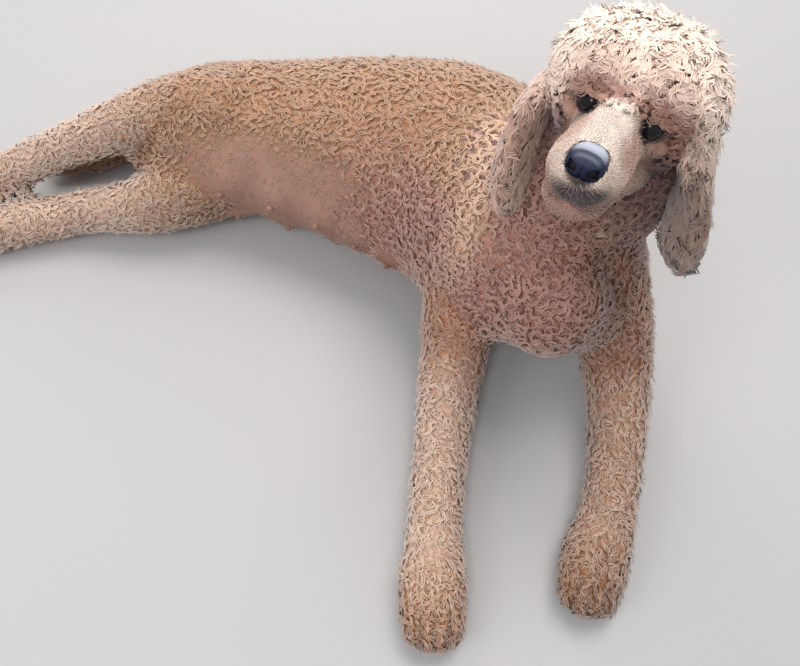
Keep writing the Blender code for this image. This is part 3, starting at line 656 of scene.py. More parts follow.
@dataclass(frozen=True)
class Head:
    """The sizes of skull, jaw, crown and ears, in the head's own frame."""

    ear_coat: float = 0.014
    face_line: tuple = (
        (-0.046, -0.070),
        (-0.020, -0.040),
        (-0.003, -0.012),
        (0.006, 0.006),
        (0.022, 0.020),
        (0.038, 0.034),
    )
    skull: tuple = (
        Section(0.119, 0.0070, -0.039, 0.0250),
        Section(0.108, 0.0115, -0.044, 0.0315),
        Section(0.090, 0.0140, -0.046, 0.0340),
        Section(0.060, 0.0160, -0.047, 0.0345),
        Section(0.035, 0.0185, -0.048, 0.0325),
        Section(0.015, 0.0240, -0.051, 0.0335),
        Section(0.000, 0.0310, -0.054, 0.0375),
        Section(-0.020, 0.0420, -0.058, 0.0480),
        Section(-0.045, 0.0480, -0.062, 0.0560),
        Section(-0.080, 0.0480, -0.060, 0.0550),
        Section(-0.112, 0.0360, -0.048, 0.0450),
        Section(-0.135, 0.0150, -0.020, 0.0250),
    )
    jaw: tuple = (
        Section(0.113, -0.034, -0.0575, 0.0205),
        Section(0.097, -0.032, -0.0620, 0.0275),
        Section(0.062, -0.030, -0.0670, 0.0310),
        Section(0.024, -0.028, -0.0740, 0.0370),
        Section(-0.020, -0.028, -0.0790, 0.0470),
        Section(-0.060, -0.028, -0.0780, 0.0500),
    )
    swellings: tuple = (
        Blob((-0.006, 0.026, 0.020), (0.014, 0.013, 0.010)),
        Blob((-0.030, 0.044, -0.014), (0.030, 0.014, 0.014)),
        Blob((-0.052, 0.040, -0.036), (0.030, 0.018, 0.024)),
        Blob((0.072, 0.017, -0.026), (0.034, 0.0165, 0.020)),
    )
    crown: tuple = (
        Blob((-0.040, 0.000, 0.012), (0.063, 0.088, 0.073)),
        Blob((-0.075, 0.000, 0.010), (0.058, 0.078, 0.058)),
        Blob((-0.096, 0.000, 0.002), (0.055, 0.073, 0.064)),
    )
    orbit: tuple = (0.0075, 0.0155, 0.0120)

    def stations(self, sections: tuple) -> tuple:
        """Stations along the head's X for sections that give a top, a bottom and a half width."""
        return tuple(
            Station((s.x, 0, (s.top + s.bottom) / 2), s.half_width, (s.top - s.bottom) / 2, (0, 0, 1), 0)
            for s in sections
        )

    def ears(self) -> dict:
        """The stations of each ear by its region, from its root down."""
        coat = self.ear_coat
        right = (
            Station((-0.052, -0.058, 0.012), 0.024, 0.009, (0, 1.0, 0.2), 0.008),
            Station((-0.056, -0.078, -0.018), 0.032, 0.008, (0, 1.0, 0.1), coat),
            Station((-0.056, -0.084, -0.062), 0.036, 0.007, (0.2, 1.0, 0), coat),
            Station((-0.052, -0.080, -0.108), 0.033, 0.006, (0.2, 1.0, 0), 0.017),
            Station((-0.048, -0.072, -0.142), 0.020, 0.005, (0.2, 1.0, 0), 0.018),
        )
        left = (
            Station((-0.052, 0.058, 0.012), 0.026, 0.009, (0, 1.0, -0.2), 0.008),
            Station((-0.057, 0.080, -0.018), 0.036, 0.008, (0, 1.0, -0.1), coat),
            Station((-0.067, 0.097, -0.062), 0.043, 0.007, (-0.3, 1.0, 0.3), coat),
            Station((-0.076, 0.106, -0.098), 0.045, 0.007, (-0.3, 1.0, 0.3), 0.020),
            Station((-0.080, 0.112, -0.123), 0.035, 0.006, (-0.3, 1.0, 0.3), 0.020),
        )
        return {Region.EAR_RIGHT: right, Region.EAR_LEFT: left}

    def mouth(self) -> tuple:
        """The line where the lips meet, on the dog's left, from the front to the corner."""
        return (
            (0.1270, 0.0000, -0.0360),
            (0.1240, 0.0120, -0.0400),
            (0.1120, 0.0250, -0.0440),
            (0.0920, 0.0310, -0.0460),
            (0.0680, 0.0330, -0.0480),
            (0.0470, 0.0340, -0.0500),
            (0.0340, 0.0340, -0.0510),
        )

    def folds(self) -> tuple:
        """The creases and ridges of the face."""
        cleft = ((0.1360, 0.0, -0.0160), (0.1340, 0.0, -0.0240), (0.1280, 0.0, -0.0350))
        return (
            Fold(self.mouth(), 0.0020, -0.0030),
            Fold(tuple((x, y, z + 0.0055) for x, y, z in self.mouth()[1:]), 0.0035, 0.0012),
            Fold(cleft, 0.0016, -0.0018),
            Fold(((0.010, 0.0270, 0.0190), (0.004, 0.0350, 0.0180), (-0.006, 0.0430, 0.0120)), 0.005, 0.0016),
            Fold(((0.020, 0.0235, 0.0060), (0.030, 0.0230, 0.0000), (0.042, 0.0260, -0.0060)), 0.0045, -0.0018),
            Fold(((0.012, 0.0380, -0.0120), (0.024, 0.0330, -0.0140), (0.040, 0.0325, -0.0180)), 0.0060, 0.0012),
        )


DOG = Body()
HEAD_SIZES = Head()


class Spine:
    """Finds, for a point, the nearest part of the dog and how the part runs there."""

    finer = 6
    batch = 4000

    def __init__(self, parts: dict) -> None:
        """Lays rows along the middle of each part.

        Args:
            parts: The stations of each part by its region.
        """
        rows = []
        for number, stations in enumerate(parts.values()):
            backs = np.array([s.back for s in stations], float)
            sizes = np.array([(min(s.across, s.through), s.coat) for s in stations])
            last = len(stations) - 1
            for place in np.linspace(0, last, last * self.finer + 1):
                at, along, _ = curve_frame(stations, place)
                row = (number, place / last, *at, *on_curve(sizes, place))
                rows.append((*row, *unit(on_curve(backs, place)), *along))
        self.regions = list(parts)
        self.rows = np.array(rows)

    def nearest(self, points: Array) -> Array:
        """The row nearest to each point, as number, share, middle, size, coat, back and along."""
        best = []
        for part in np.array_split(points, max(1, len(points) // self.batch)):
            away = np.linalg.norm(self.rows[None, :, MIDDLE] - part[:, None], axis=2) - self.rows[None, :, SIZE]
            best.append(np.argmin(away, axis=1))
        return self.rows[np.concatenate(best)]

    def unwrap(self, points: Array, rows: Array) -> Array:
        """Places on an unwrap of the skin: round the part, and along it.

        Args:
            points: Points on the skin.
            rows: Their nearest rows.

        Returns:
            One pair from 0 to 1 a point.
        """
        away = points - rows[:, MIDDLE]
        side = np.cross(rows[:, ALONG], rows[:, BACK])
        turn = np.arctan2((away * side).sum(1), (away * rows[:, BACK]).sum(1))
        along = rows[:, 1] + 0.03 * np.clip((away * rows[:, ALONG]).sum(1) / 0.03, -1, 1)
        return np.stack([0.5 + turn / (2 * math.pi) * 0.98, 0.04 + 0.92 * np.clip(along, 0, 1)], 1)


@dataclass(frozen=True)
class Markings:
    """The shades of the coat and skin on each part of the dog."""

    trunk: str = "#a88163"
    legs: str = "#c7a994"
    elbows: str = "#ab7a5e"
    paws: str = "#9a6b48"
    # chest: darker than the trunk, as painted shade under the raised head
    chest: str = "#a4776a"
    waves: str = "#dab79b"
    crown: str = "#f9dcc8"
    ears: str = "#cda692"
    face: str = "#bf9884"
    # brow: the wool by the face line, darker as painted shade under the crown's overhang
    brow: str = "#8f5f50"
    bridge: str = "#e0d0c2"
    chops: str = "#a87e6e"
    lips: str = "#38252b"
    rims: str = "#2c1f26"
    belly: str = "#94705f"
    jaw_shadow: tuple = (0.58, 0.46, 0.50)
    leg_shadow: tuple = (0.69, 0.63, 0.58)
    ear_shadow: tuple = (0.42, 0.34, 0.36)
    jaw_line: tuple = ((0.11, 0, -0.05), (0.03, 0, -0.055), (-0.06, 0, -0.055))

    def on_body(self, points: Array, rows: Array, regions: list) -> Array:
        """The shade at points of trunk, neck, legs and tail.

        Args:
            points: The points, in the pose's own frame.
            rows: Their nearest rows on the spine.
            regions: The spine's regions, in order.

        Returns:
            Linear colour, one row a point.
        """
        number, share = rows[:, 0].astype(int), rows[:, 1]
        names = np.array([r.value for r in regions])[number]
        trunk = np.repeat(linear(self.trunk)[None], len(points), 0)
        chest = linear(self.chest)
        legs, paws = linear(self.legs), linear(self.paws)
        toward_back = (unit(points - rows[:, MIDDLE]) * rows[:, BACK]).sum(1)
        body = np.isin(names, [Region.TRUNK.value, Region.NECK.value])
        front = np.maximum(soft_step(toward_back, 0.60, 0.05), soft_step(points[:, 1], 0.53, 0.46))
        fore_end = soft_step(points[:, 1], 0.68, 0.46) * np.where(body, front, 1)
        # the chest and the front of the neck take the chest's darker colour, which is painted shade
        colour = mixed(trunk, chest, fore_end)
        x, y, _ = points.T
        waves = np.exp(-(((x - 0.094 - 0.30 * (y - 0.5)) / 0.026) ** 2))
        waves = waves * soft_step(y, 0.38, 0.44) * soft_step(y, 0.62, 0.54)
        colour = mixed(colour, linear(self.waves), 0.75 * waves * body)
        jaw, _ = distance_to_path(HEAD.inward(points), self.jaw_line, 8)
        colour = mixed(colour, colour * self.jaw_shadow, soft_step(jaw, 0.105, 0.055) * body)
        leg = np.char.find(names, "leg") >= 0
        fore = np.char.find(names, "foreleg") >= 0
        down = np.where(fore, soft_step(share, 0.24, 0.48), soft_step(share, 0.05, 0.4))
        colour = mixed(colour, linear(self.elbows), fore * soft_step(share, 0.05, 0.2))
        upper = np.where(fore[:, None], linear(self.elbows), trunk)
        colour = mixed(colour, mixed(upper, legs, down), leg * soft_step(share, 0.0, 0.15))
        colour = mixed(colour, paws, leg * soft_step(share, 0.72, 0.95) * 0.8)
        left_leg = (names == Region.FORELEG_LEFT.value) * 0.9
        shaded = np.maximum(left_leg, fore_end * soft_step(x, 0.17, 0.25))
        return mixed(colour, colour * self.leg_shadow, shaded)

    def on_head(self, local: Array) -> Array:
        """The shade at points of the head, in the head's own frame."""
        face = np.repeat(linear(self.face)[None], len(local), 0)
        x, y, z = local.T
        bridge = soft_step(z, -0.004, 0.010) * soft_step(x, 0.018, 0.045) * soft_step(np.abs(y), 0.026, 0.012)
        colour = mixed(face, linear(self.bridge), bridge)
        chops = soft_step(z, -0.018, -0.036) * soft_step(x, 0.02, 0.06)
        colour = mixed(colour, linear(self.chops), 0.8 * chops)
        pale = soft_step(x, 0.085, 0.112) * soft_step(z, -0.030, -0.014)
        colour = mixed(colour, linear(self.bridge), 0.6 * pale)
        # the dark patch under the nose: partly the lips' own dark pigment, partly painted shadow under the nose
        front = np.linalg.norm((local - (0.131, 0.007, -0.0265)) / (0.023, 0.027, 0.0135), axis=1)
        colour = mixed(colour, linear(self.lips), 0.96 * soft_step(front, 1.25, 0.62))
        line = wool_edge(local)
        # painted shade: along the face line and round the eyes the crown's wool is darkened towards the brow colour,
        # reaching further on the dog's left
        outer, inner = np.where(y > 0, 0.090, 0.070), np.where(y > 0, 0.058, 0.040)
        near = soft_step(line - x, 0.040, 0.004) * soft_step(np.abs(y), outer, inner)
        crown = mixed(linear(self.crown) + 0 * face, linear(self.brow), near)
        share = soft_step(x, line + 0.006, line - 0.008)[:, None]
        colour = colour * (1 - share) + crown * share
        hollow = soft_step(np.abs(y), 0.034, 0.050) * soft_step(x, 0.004, -0.026) * soft_step(z, -0.004, -0.026)
        return mixed(colour, colour * self.ear_shadow, hollow)


MARKS = Markings()


def mixed(low: Array, high: Array, share: Array) -> Array:
    """Two colours mixed by a share at each point."""
    share = np.asarray(share, float)[:, None]
    return low * (1 - share) + high * share


def face_edge(z: Array) -> Array:
    """The X of the line where the clipped face ends, at heights Z in the head's own frame."""
    line = np.array(HEAD_SIZES.face_line)
    return np.interp(z, line[:, 1], line[:, 0])


def wool_edge(local: Array) -> Array:
    """The X where the wool ends at some points of the head, with its peak between the eyes."""
    peak = np.exp(-((local[:, 1] / 0.017) ** 2)) * soft_step(local[:, 2], 0.004, 0.016)
    return face_edge(local[:, 2]) + 0.012 * peak


def distance_to_path(points: Array, path: tuple, steps: int = 60) -> tuple:
    """How far points are from a path, and where on it the nearest place is.

    Args:
        points: The points.
        path: The points that the path passes through.
        steps: How finely the path is laid out.

    Returns:
        The distances, and the places from 0 to 1.
    """
    knots = np.array(path, float)
    places = np.linspace(0, len(knots) - 1, steps)
    line = np.array([on_curve(knots, p) for p in places])
    best = np.full(len(points), 9.0)
    where = np.zeros(len(points))
    for place, at in zip(places, line):
        away = np.linalg.norm(points - at, axis=1)
        nearer = away < best
        best[nearer] = away[nearer]
        where[nearer] = place / places[-1]
    return best, where


def mirrored(local: Array) -> Array:
    """Points of the head folded over to its left side."""
    return np.stack([local[:, 0], np.abs(local[:, 1]), local[:, 2]], 1)


def from_eyes(local: Array) -> Array:
    """How far points of the head lie from the middle of the nearer eye."""
    return np.min([np.linalg.norm(local - np.array(EYE.middle(side)), axis=1) for side in (1, -1)], axis=0)


def picked(keep: Array, *arrays: Array) -> list:
    """The rows of some arrays that a mask or a list of numbers picks."""
    return [array[keep] for array in arrays]


def bare_belly(points: Array, rows: Array, regions: list) -> Array:
    """How bare the skin is at some points: 1 on the belly and 0 where the coat is full.

    Args:
        points: The points, in the pose's own frame.
        rows: The nearest rows on the spine.
        regions: The spine's regions, in order.

    Returns:
        One share a point.
    """
    trunk = rows[:, 0].astype(int) == regions.index(Region.TRUNK)
    share = rows[:, 1]
    facing = (unit(points - rows[:, MIDDLE]) * rows[:, BACK]).sum(1)
    along = soft_step(share, 0.11, 0.24) * soft_step(share, 0.52, 0.36)
    return trunk * along * soft_step(facing, -0.05, -0.60)


@dataclass(frozen=True)
class MilkLine:
    """The two rows of mounds and teats along the belly."""

    shares: tuple = (0.20, 0.28, 0.36, 0.44, 0.52)
    apart: float = 0.42
    mound: tuple = (0.029, 0.0125)
    teat: tuple = (0.0045, 0.0045, 0.0052)

    def places(self, stations: tuple) -> list:
        """A point inside the trunk and a way out for each teat."""
        made = []
        for share in self.shares:
            at, along, back = curve_frame(stations, share * (len(stations) - 1))
            for side in (-1, 1):
                way = -back * math.cos(self.apart) + np.cross(along, back) * side * math.sin(self.apart)
                made.append((at, unit(way)))
        return made

    def near(self, points: Array, stations: tuple) -> Array:
        """How far in from the edge of a mound some points lie, from 0 to 1."""
        best = np.zeros(len(points))
        for centre, way in self.places(stations):
            away = points - centre
            out = away @ way
            off = np.linalg.norm(away - out[:, None] * way, axis=1)
            best = np.maximum(best, np.exp(-((off / self.mound[0]) ** 2)) * (out > 0.04))
        return best

    def raise_on(self, made: Thing, stations: tuple) -> Thing:
        """Raises the mounds on the skin and sets the teats on them.

        Args:
            made: The skin, still without its head.
            stations: The trunk's stations.

        Returns:
            The skin.
        """
        tree = tree_of(made)
        points, normals = points_of(made), normals_of(made)
        moved = np.zeros(len(points))
        teats = []
        for centre, way in self.places(stations):
            hit = tree.ray_cast(Vector(centre), Vector(way))[0]
            away = np.linalg.norm(points - np.array(hit), axis=1)
            moved = np.maximum(moved, self.mound[1] * np.exp(-((away / self.mound[0]) ** 2)))
            turn = Vector(way).to_track_quat("Z", "Y").to_matrix().to_4x4()
            teats.append(ball("teat", hit + Vector(way) * (self.mound[1] + 0.001), self.teat, turn))
        set_points(made, points + normals * moved[:, None])
        return boolean(made, joined("teats", teats), "UNION")


MILK_LINE = MilkLine()


@dataclass(frozen=True)
class Toes:
    """The creases between the toes of a foot, as the coat shows them."""

    pitch: float = 0.0175
    width: float = 0.0042
    depth: float = 0.0028

    def creases(self, points: Array, stations: tuple) -> Array:
        """How far some points are in a crease of one foot, from 0 to 1."""
        tip, before = np.array(stations[-1].at), np.array(stations[-2].at)
        ahead = unit(tip - before)
        side = unit(np.cross(ahead, (0, 0, 1.0)))
        over = (points - tip) @ side
        front = soft_step((points - tip) @ ahead, -0.030, 0.0) * (np.linalg.norm(points - tip, axis=1) < 0.08)
        middle = np.clip(np.round(over / self.pitch), -1, 1) * self.pitch
        return np.exp(-(((over - middle) / self.width) ** 2)) * front

    def of_all(self, points: Array) -> Array:
        """How far some points are in a crease of any foot."""
        feet = [stations for region, stations in DOG.parts().items() if "leg" in region.value]
        return np.max([self.creases(points, stations) for stations in feet], axis=0)


TOES = Toes()


class Skin:
    """The one skin of the whole dog, which stands for all the nodes of flesh."""

    body_voxel = 0.0055
    head_voxel = 0.0014
    core = 0.66
    crown_depth = 0.0078
    crown_back = 0.012
    # painted light: the skin under the coat is lighter than the coat's own colour, standing in for light that
    # scatters into the gaps between the locks
    painted_light_under_wool = (1.32, 1.20, 1.12)

    def __init__(self, body: Body, head: Head) -> None:
        """Takes the sizes that the skin is made from."""
        self.body = body
        self.head = head
        self.spine = Spine(body.parts())

    def head_flesh(self) -> Thing:
        """The head with its ears, orbits and lids, in the head's own frame."""
        shapes = [self.skull()]
        for blob in self.head.swellings:
            for side in (-1, 1):
                shapes.append(ball("swelling", (blob.at[0], side * blob.at[1], blob.at[2]), blob.half))
        made = fused("head", shapes, 0.0026, 5)
        for side in (-1, 1):
            at = EYE.middle(side) + EYE.axis_of(side) * EYE.radius * 1.15
            boolean(made, ball("orbit", at, self.head.orbit, EYE.turn(side)), "DIFFERENCE")
        shapes = [made, loft("jaw", self.head.stations(self.head.jaw))]
        shapes += [ball("wool", b.at, [h - self.crown_depth for h in b.half]) for b in self.crown_blobs()]
        shapes += [self.lid(side) for side in (-1, 1)]
        for region, stations in self.head.ears().items():
            shapes.append(self.ear(region, stations))
        made = fused("head", shapes, self.head_voxel, 3)
        return self.modelled(made)

    def crown_blobs(self) -> list:
        """The crown's forms, moved back from the clipped face."""
        return [Blob((b.at[0] - self.crown_back, *b.at[1:]), b.half) for b in self.head.crown]

    def skull(self, grow: float = 0.0) -> Thing:
        """The skull and muzzle, whose bridge is narrower than the lips."""
        made = loft("skull", self.head.stations(self.head.skull), power=2.3, grow=grow, sides=64)
        points = points_of(made)
        x, _, z = points.T
        high = soft_step(z, -0.022, 0.010) * soft_step(x, -0.016, 0.012) * (1 - 0.7 * soft_step(x, 0.095, 0.120))
        points[:, 1] *= 1 - 0.32 * high
        set_points(made, points)
        return made

    def lid(self, side: int) -> Thing:
        """The rim of the lids of one eye: a tube round the opening."""
        rim = EYE.rim(side)
        middle = np.array(EYE.middle(side))
        ahead = unit(np.roll(rim, -1, 0) - np.roll(rim, 1, 0))
        out = unit(rim - middle)
        across = np.cross(ahead, out)
        points = []
        for k in range(8):
            a = 2 * math.pi * k / 8
            points.append(rim + (out * math.cos(a) + across * math.sin(a)) * EYE.lid)
        points = np.stack(points, 1).reshape(-1, 3)
        count = len(rim)
        faces = []
        for i in range(count):
            for k in range(8):
                a, b = i * 8 + k, i * 8 + (k + 1) % 8
                c, d = (i + 1) % count * 8 + (k + 1) % 8, (i + 1) % count * 8 + k
                faces.append((a, b, c, d))
        made = add_mesh("lids", points, faces)
        mesh = bmesh.new()
        mesh.from_mesh(made.data)
        bmesh.ops.recalc_face_normals(mesh, faces=mesh.faces)
        mesh.to_mesh(made.data)
        mesh.free()
        return made

    def ear(self, region: Region, stations: tuple) -> Thing:
        """The leather of one ear, hollowed on its inner side."""
        made = loft("ear", stations, thin=0.55)
        outward = 1 if region is Region.EAR_LEFT else -1
        middle = stations[2]
        away = Vector(middle.back).normalized() * outward
        cup = Vector(middle.at) - away * (middle.through * 0.55 + 0.0102)
        turn = away.to_track_quat("Y", "Z").to_matrix().to_4x4()
        return boolean(made, ball("cup", cup, (0.022, 0.012, 0.042), turn), "DIFFERENCE")

    def modelled(self, made: Thing) -> Thing:
        """Presses the folds into the head and opens its surface for the eyes."""
        points = points_of(made)
        normals = normals_of(made)
        mirror = mirrored(points)
        for fold in self.head.folds():
            away, where = distance_to_path(mirror, fold.path)
            ends = soft_step(where, -0.01, 0.12) * soft_step(where, 1.01, 0.85)
            points += normals * (fold.depth * np.exp(-((away / fold.width) ** 2)) * ends)[:, None]
        x, y, z = points.T
        muzzle = soft_step((y / 0.0172) ** 2 + ((z + 0.0035) / 0.0140) ** 2, 1.15, 0.8) * soft_step(x, 0.112, 0.120)
        points[:, 0] -= 0.012 * muzzle
        for side in (-1, 1):
            middle = np.array(EYE.middle(side))
            away = points - middle
            length = np.linalg.norm(away, axis=1, keepdims=True)
            inside = length[:, 0] < EYE.radius
            points[inside] = middle + unit(away[inside]) * EYE.radius * 0.82
        set_points(made, points)
        return made

    def build(self) -> Thing:
        """Builds the skin.

        Returns:
            The skin, in the pose's own frame.
        """
        made = fused("skin", self.body.shapes(self.core), self.body_voxel, 4)
        made = MILK_LINE.raise_on(made, self.body.trunk())
        head = self.head_flesh()
        head.data.transform(HEAD.matrix())
        boolean(made, head, "UNION")
        low = points_of(made)
        low[:, 2] = np.maximum(low[:, 2], SKIN_CLEARANCE)
        set_points(made, low)
        return made

    def dress(self, made: Thing, material: Material) -> Thing:
        """Gives the skin its markings, its material and its place.

        Args:
            made: The skin as built.
            material: The finish of skin.

        Returns:
            The finished skin.
        """
        points, normals = points_of(made), normals_of(made)
        local = HEAD.inward(points)
        rows = self.spine.nearest(points)
        colour = MARKS.on_body(points, rows, self.spine.regions)
        bare = bare_belly(points, rows, self.spine.regions)
        nude = np.maximum(np.sqrt(bare), MILK_LINE.near(points, self.body.trunk()) * (rows[:, 0] == 0))
        # painted light: the skin under the coat is lightened, the bare belly aside
        colour = mixed(colour * self.painted_light_under_wool, linear(MARKS.belly), nude)
        on_head = self.near_head(local)
        # painted shade: the skin in the creases between the toes is darkened
        colour = colour * (1 - 0.5 * TOES.of_all(points))[:, None]
        crown = soft_step(local[:, 0] - wool_edge(local), 0.004, -0.006)
        # painted light: the skin under the crown's wool is lightened by up to a quarter
        on_crown = MARKS.on_head(local) * (1 + 0.25 * crown)[:, None]
        colour = mixed(colour, on_crown, on_head)
        away, _ = distance_to_path(mirrored(local), self.head.mouth())
        lips = np.exp(-((away / 0.0042) ** 2)) * on_head
        colour = mixed(colour, linear(MARKS.lips), np.clip(lips * 1.15, 0, 1))
        wet = np.zeros(len(points))
        for side in (-1, 1):
            rim = EYE.rim(side)
            away = np.min(np.linalg.norm(local[:, None] - rim[None, ::2], axis=2), axis=1)
            dark = soft_step(away, 0.0075, 0.0030)
            colour = mixed(colour, linear(MARKS.rims), dark)
            wet = np.maximum(wet, soft_step(away, 0.0036, 0.0020))
        fur = on_head * (1 - np.clip(lips * 1.4, 0, 1)) * (1 - wet)
        write_colour(made, "markings", colour)
        write_value(made, "wet", wet)
        write_value(made, "fur", np.maximum(fur, 0.25 * bare))
        write_value(made, "wool", np.maximum((1 - bare) * (1 - on_head), crown * on_head))
        write_vector(made, "combed", combed(points, local, on_head))
        made.data.materials.clear()
        set_down(made, material)
        nodes = [region.value for region in self.body.parts() if region is not Region.TRUNK]
        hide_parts("torso", "head", "ear_right", "ear_left", *nodes)
        return made

    def near_head(self, local: Array) -> Array:
        """1 on the head and ears, 0 on the neck and body, for points in the head's own frame."""
        x, y, z = local.T
        return soft_step(x, -0.150, -0.135) * soft_step(z, -0.175, -0.150) * (np.abs(y) < 0.16) * (z < 0.12)


def combed(points: Array, local: Array, on_head: Array) -> Array:
    """Coordinates that are drawn out along the lie of the short fur."""
    face = local * (260, 1100, 1100)
    body = points * (130, 330, 330)
    return mixed(body, face, on_head)


def write_colour(thing: Thing, name: str, rows: Array) -> None:
    """Stores a linear colour at each vertex."""
    made = thing.data.attributes.new(name, "FLOAT_COLOR", "POINT")
    full = np.concatenate([rows, np.ones((len(rows), 1))], 1)
    made.data.foreach_set("color", full.ravel().astype(np.float32))


def write_value(thing: Thing, name: str, values: Array) -> None:
    """Stores a number at each vertex."""
    made = thing.data.attributes.new(name, "FLOAT", "POINT")
    made.data.foreach_set("value", np.asarray(values, np.float32))


def write_vector(thing: Thing, name: str, rows: Array) -> None:
    """Stores a vector at each vertex."""
    made = thing.data.attributes.new(name, "FLOAT_VECTOR", "POINT")
    made.data.foreach_set("vector", rows.ravel().astype(np.float32))


@dataclass(frozen=True)
class LockStyle:
    """How the locks of a region are made. Lengths are in metres and turns in degrees.

    A lock lies along the surface that the coat reaches: it comes up from its root at one end,
    bends one way or both ways in the surface, and a share of the locks lift their tips.
    """

    spacing: float = 0.0059
    strands: int = 3
    length: float = 0.0165
    width: float = 0.0009
    spread: float = 0.0018
    turn: tuple = (60, 150)
    waved: float = 0.5
    arch: float = 0.0022
    lift: float = 0.0080
    lifted: float = 0.6
    rings: int = 5
    swirl: float = 0.9
    stray: float = 0.45
    splay: float = 0.22
    ruffle: float = 0.0030


FLUFF = LockStyle()
LEG_FLUFF = LockStyle(0.0056, turn=(60, 160), lift=0.0085, lifted=0.65, swirl=0.8, stray=0.5, splay=0.28)
FOOT_FLUFF = LockStyle(0.0043, length=0.0145, lift=0.0075, swirl=0.6)
RINGLET = LockStyle(0.0057, 3, 0.0195, 0.0010, 0.0015, (150, 290), 0.2, lift=0.0070, rings=6, swirl=1.4, stray=0.8)
CROWN_CURL = LockStyle(
    0.0047, 4, 0.0160, 0.0011, 0.0021, (100, 240), 0.25, lift=0.0100, lifted=0.5, rings=6, swirl=1.5, stray=0.8
)
CROWN_FLAME = LockStyle(
    0.0047, 4, 0.0180, 0.0011, 0.0024, (80, 200), 0.35,
    lift=0.0135, lifted=0.75, rings=6, swirl=1.2, stray=0.8, splay=0.28,
)
EAR_WAVE = LockStyle(
    0.0053, 4, 0.0280, 0.0009, 0.0022, (50, 120), 0.8, lift=0.0070, lifted=0.4, rings=7, swirl=0.4, stray=0.25
)


def spread_points(thing: Thing, density: float, draw: Draw) -> tuple:
    """Draws points all over a surface.

    Args:
        thing: The surface.
        density: Points a square metre.
        draw: The seeded draw.

    Returns:
        The points and their normals.
    """
    data = thing.data
    data.calc_loop_triangles()
    trios = np.empty(len(data.loop_triangles) * 3, np.int64)
    data.loop_triangles.foreach_get("vertices", trios)
    corners = points_of(thing)[trios.reshape(-1, 3)]
    cross = np.cross(corners[:, 1] - corners[:, 0], corners[:, 2] - corners[:, 0])
    areas = np.linalg.norm(cross, axis=1) / 2
    picks = draw.choice(len(corners), int(density * areas.sum()), p=areas / areas.sum())
    u, v = draw.random((2, len(picks)))
    flip = u + v > 1
    u[flip], v[flip] = 1 - u[flip], 1 - v[flip]
    points = corners[picks, 0] * (1 - u - v)[:, None] + corners[picks, 1] * u[:, None]
    points += corners[picks, 2] * v[:, None]
    smooth = normals_of(thing)[trios.reshape(-1, 3)[picks]]
    blend = np.stack([1 - u - v, u, v], 1)[:, :, None]
    return points, unit((smooth * blend).sum(1))


def thinned(points: Array, spacing: Array) -> Array:
    """Picks points so that no two lie closer than their spacing.

    Args:
        points: The points, in the order in which they are tried.
        spacing: The spacing at each point.

    Returns:
        The numbers of the points that stay.
    """
    cell = float(spacing.max())
    homes = np.floor(points / cell).astype(int)
    filled: dict = {}
    kept = []
    near = [(i, j, k) for i in (-1, 0, 1) for j in (-1, 0, 1) for k in (-1, 0, 1)]
    for number, (point, home, least) in enumerate(zip(points.tolist(), homes.tolist(), (spacing**2).tolist())):
        x, y, z = point
        clear = True
        for i, j, k in near:
            for a, b, c in filled.get((home[0] + i, home[1] + j, home[2] + k), ()):
                if (a - x) ** 2 + (b - y) ** 2 + (c - z) ** 2 < least:
                    clear = False
                    break
            if not clear:
                break
        if clear:
            filled.setdefault(tuple(home), []).append((x, y, z))
            kept.append(number)
    return np.array(kept, int)


def inside(tree: BVHTree, points: Array, deep: float = 0.0) -> Array:
    """Whether points lie inside a closed surface, by more than a depth."""
    found = []
    for point in points:
        at, normal, _, _ = tree.find_nearest(Vector(point))
        found.append((Vector(point) - at).dot(normal) < -deep)
    return np.array(found, bool)


def roots_on(tree: BVHTree, points: Array) -> Array:
    """The places on a surface nearest to some points."""
    return np.array([tuple(tree.find_nearest(Vector(p))[0]) for p in points])


def swirls(points: Array, size: float, seed: int) -> Array:
    """A smooth field of turns over space, from a few waves.

    Args:
        points: Where.
        size: How far apart the swirls are.
        seed: Picks another field.

    Returns:
        One number from about -1 to 1 a point.
    """
    draw = np.random.default_rng(seed)
    total = np.zeros(len(points))
    for _ in range(7):
        way = unit(draw.normal(size=3))
        total += np.sin(points @ way * (2 * math.pi / size) * draw.uniform(0.7, 1.4) + draw.uniform(0, 7))
    return total / 2.6


def turned_about(rows: Array, axes: Array, angles: Array) -> Array:
    """Directions turned about axes at right angles to them."""
    return rows * np.cos(angles)[:, None] + np.cross(axes, rows) * np.sin(angles)[:, None]


def laid(falls: Array, normals: Array) -> Array:
    """Directions laid flat on the surface that has these normals."""
    return unit(falls - normals * (falls * normals).sum(1)[:, None])


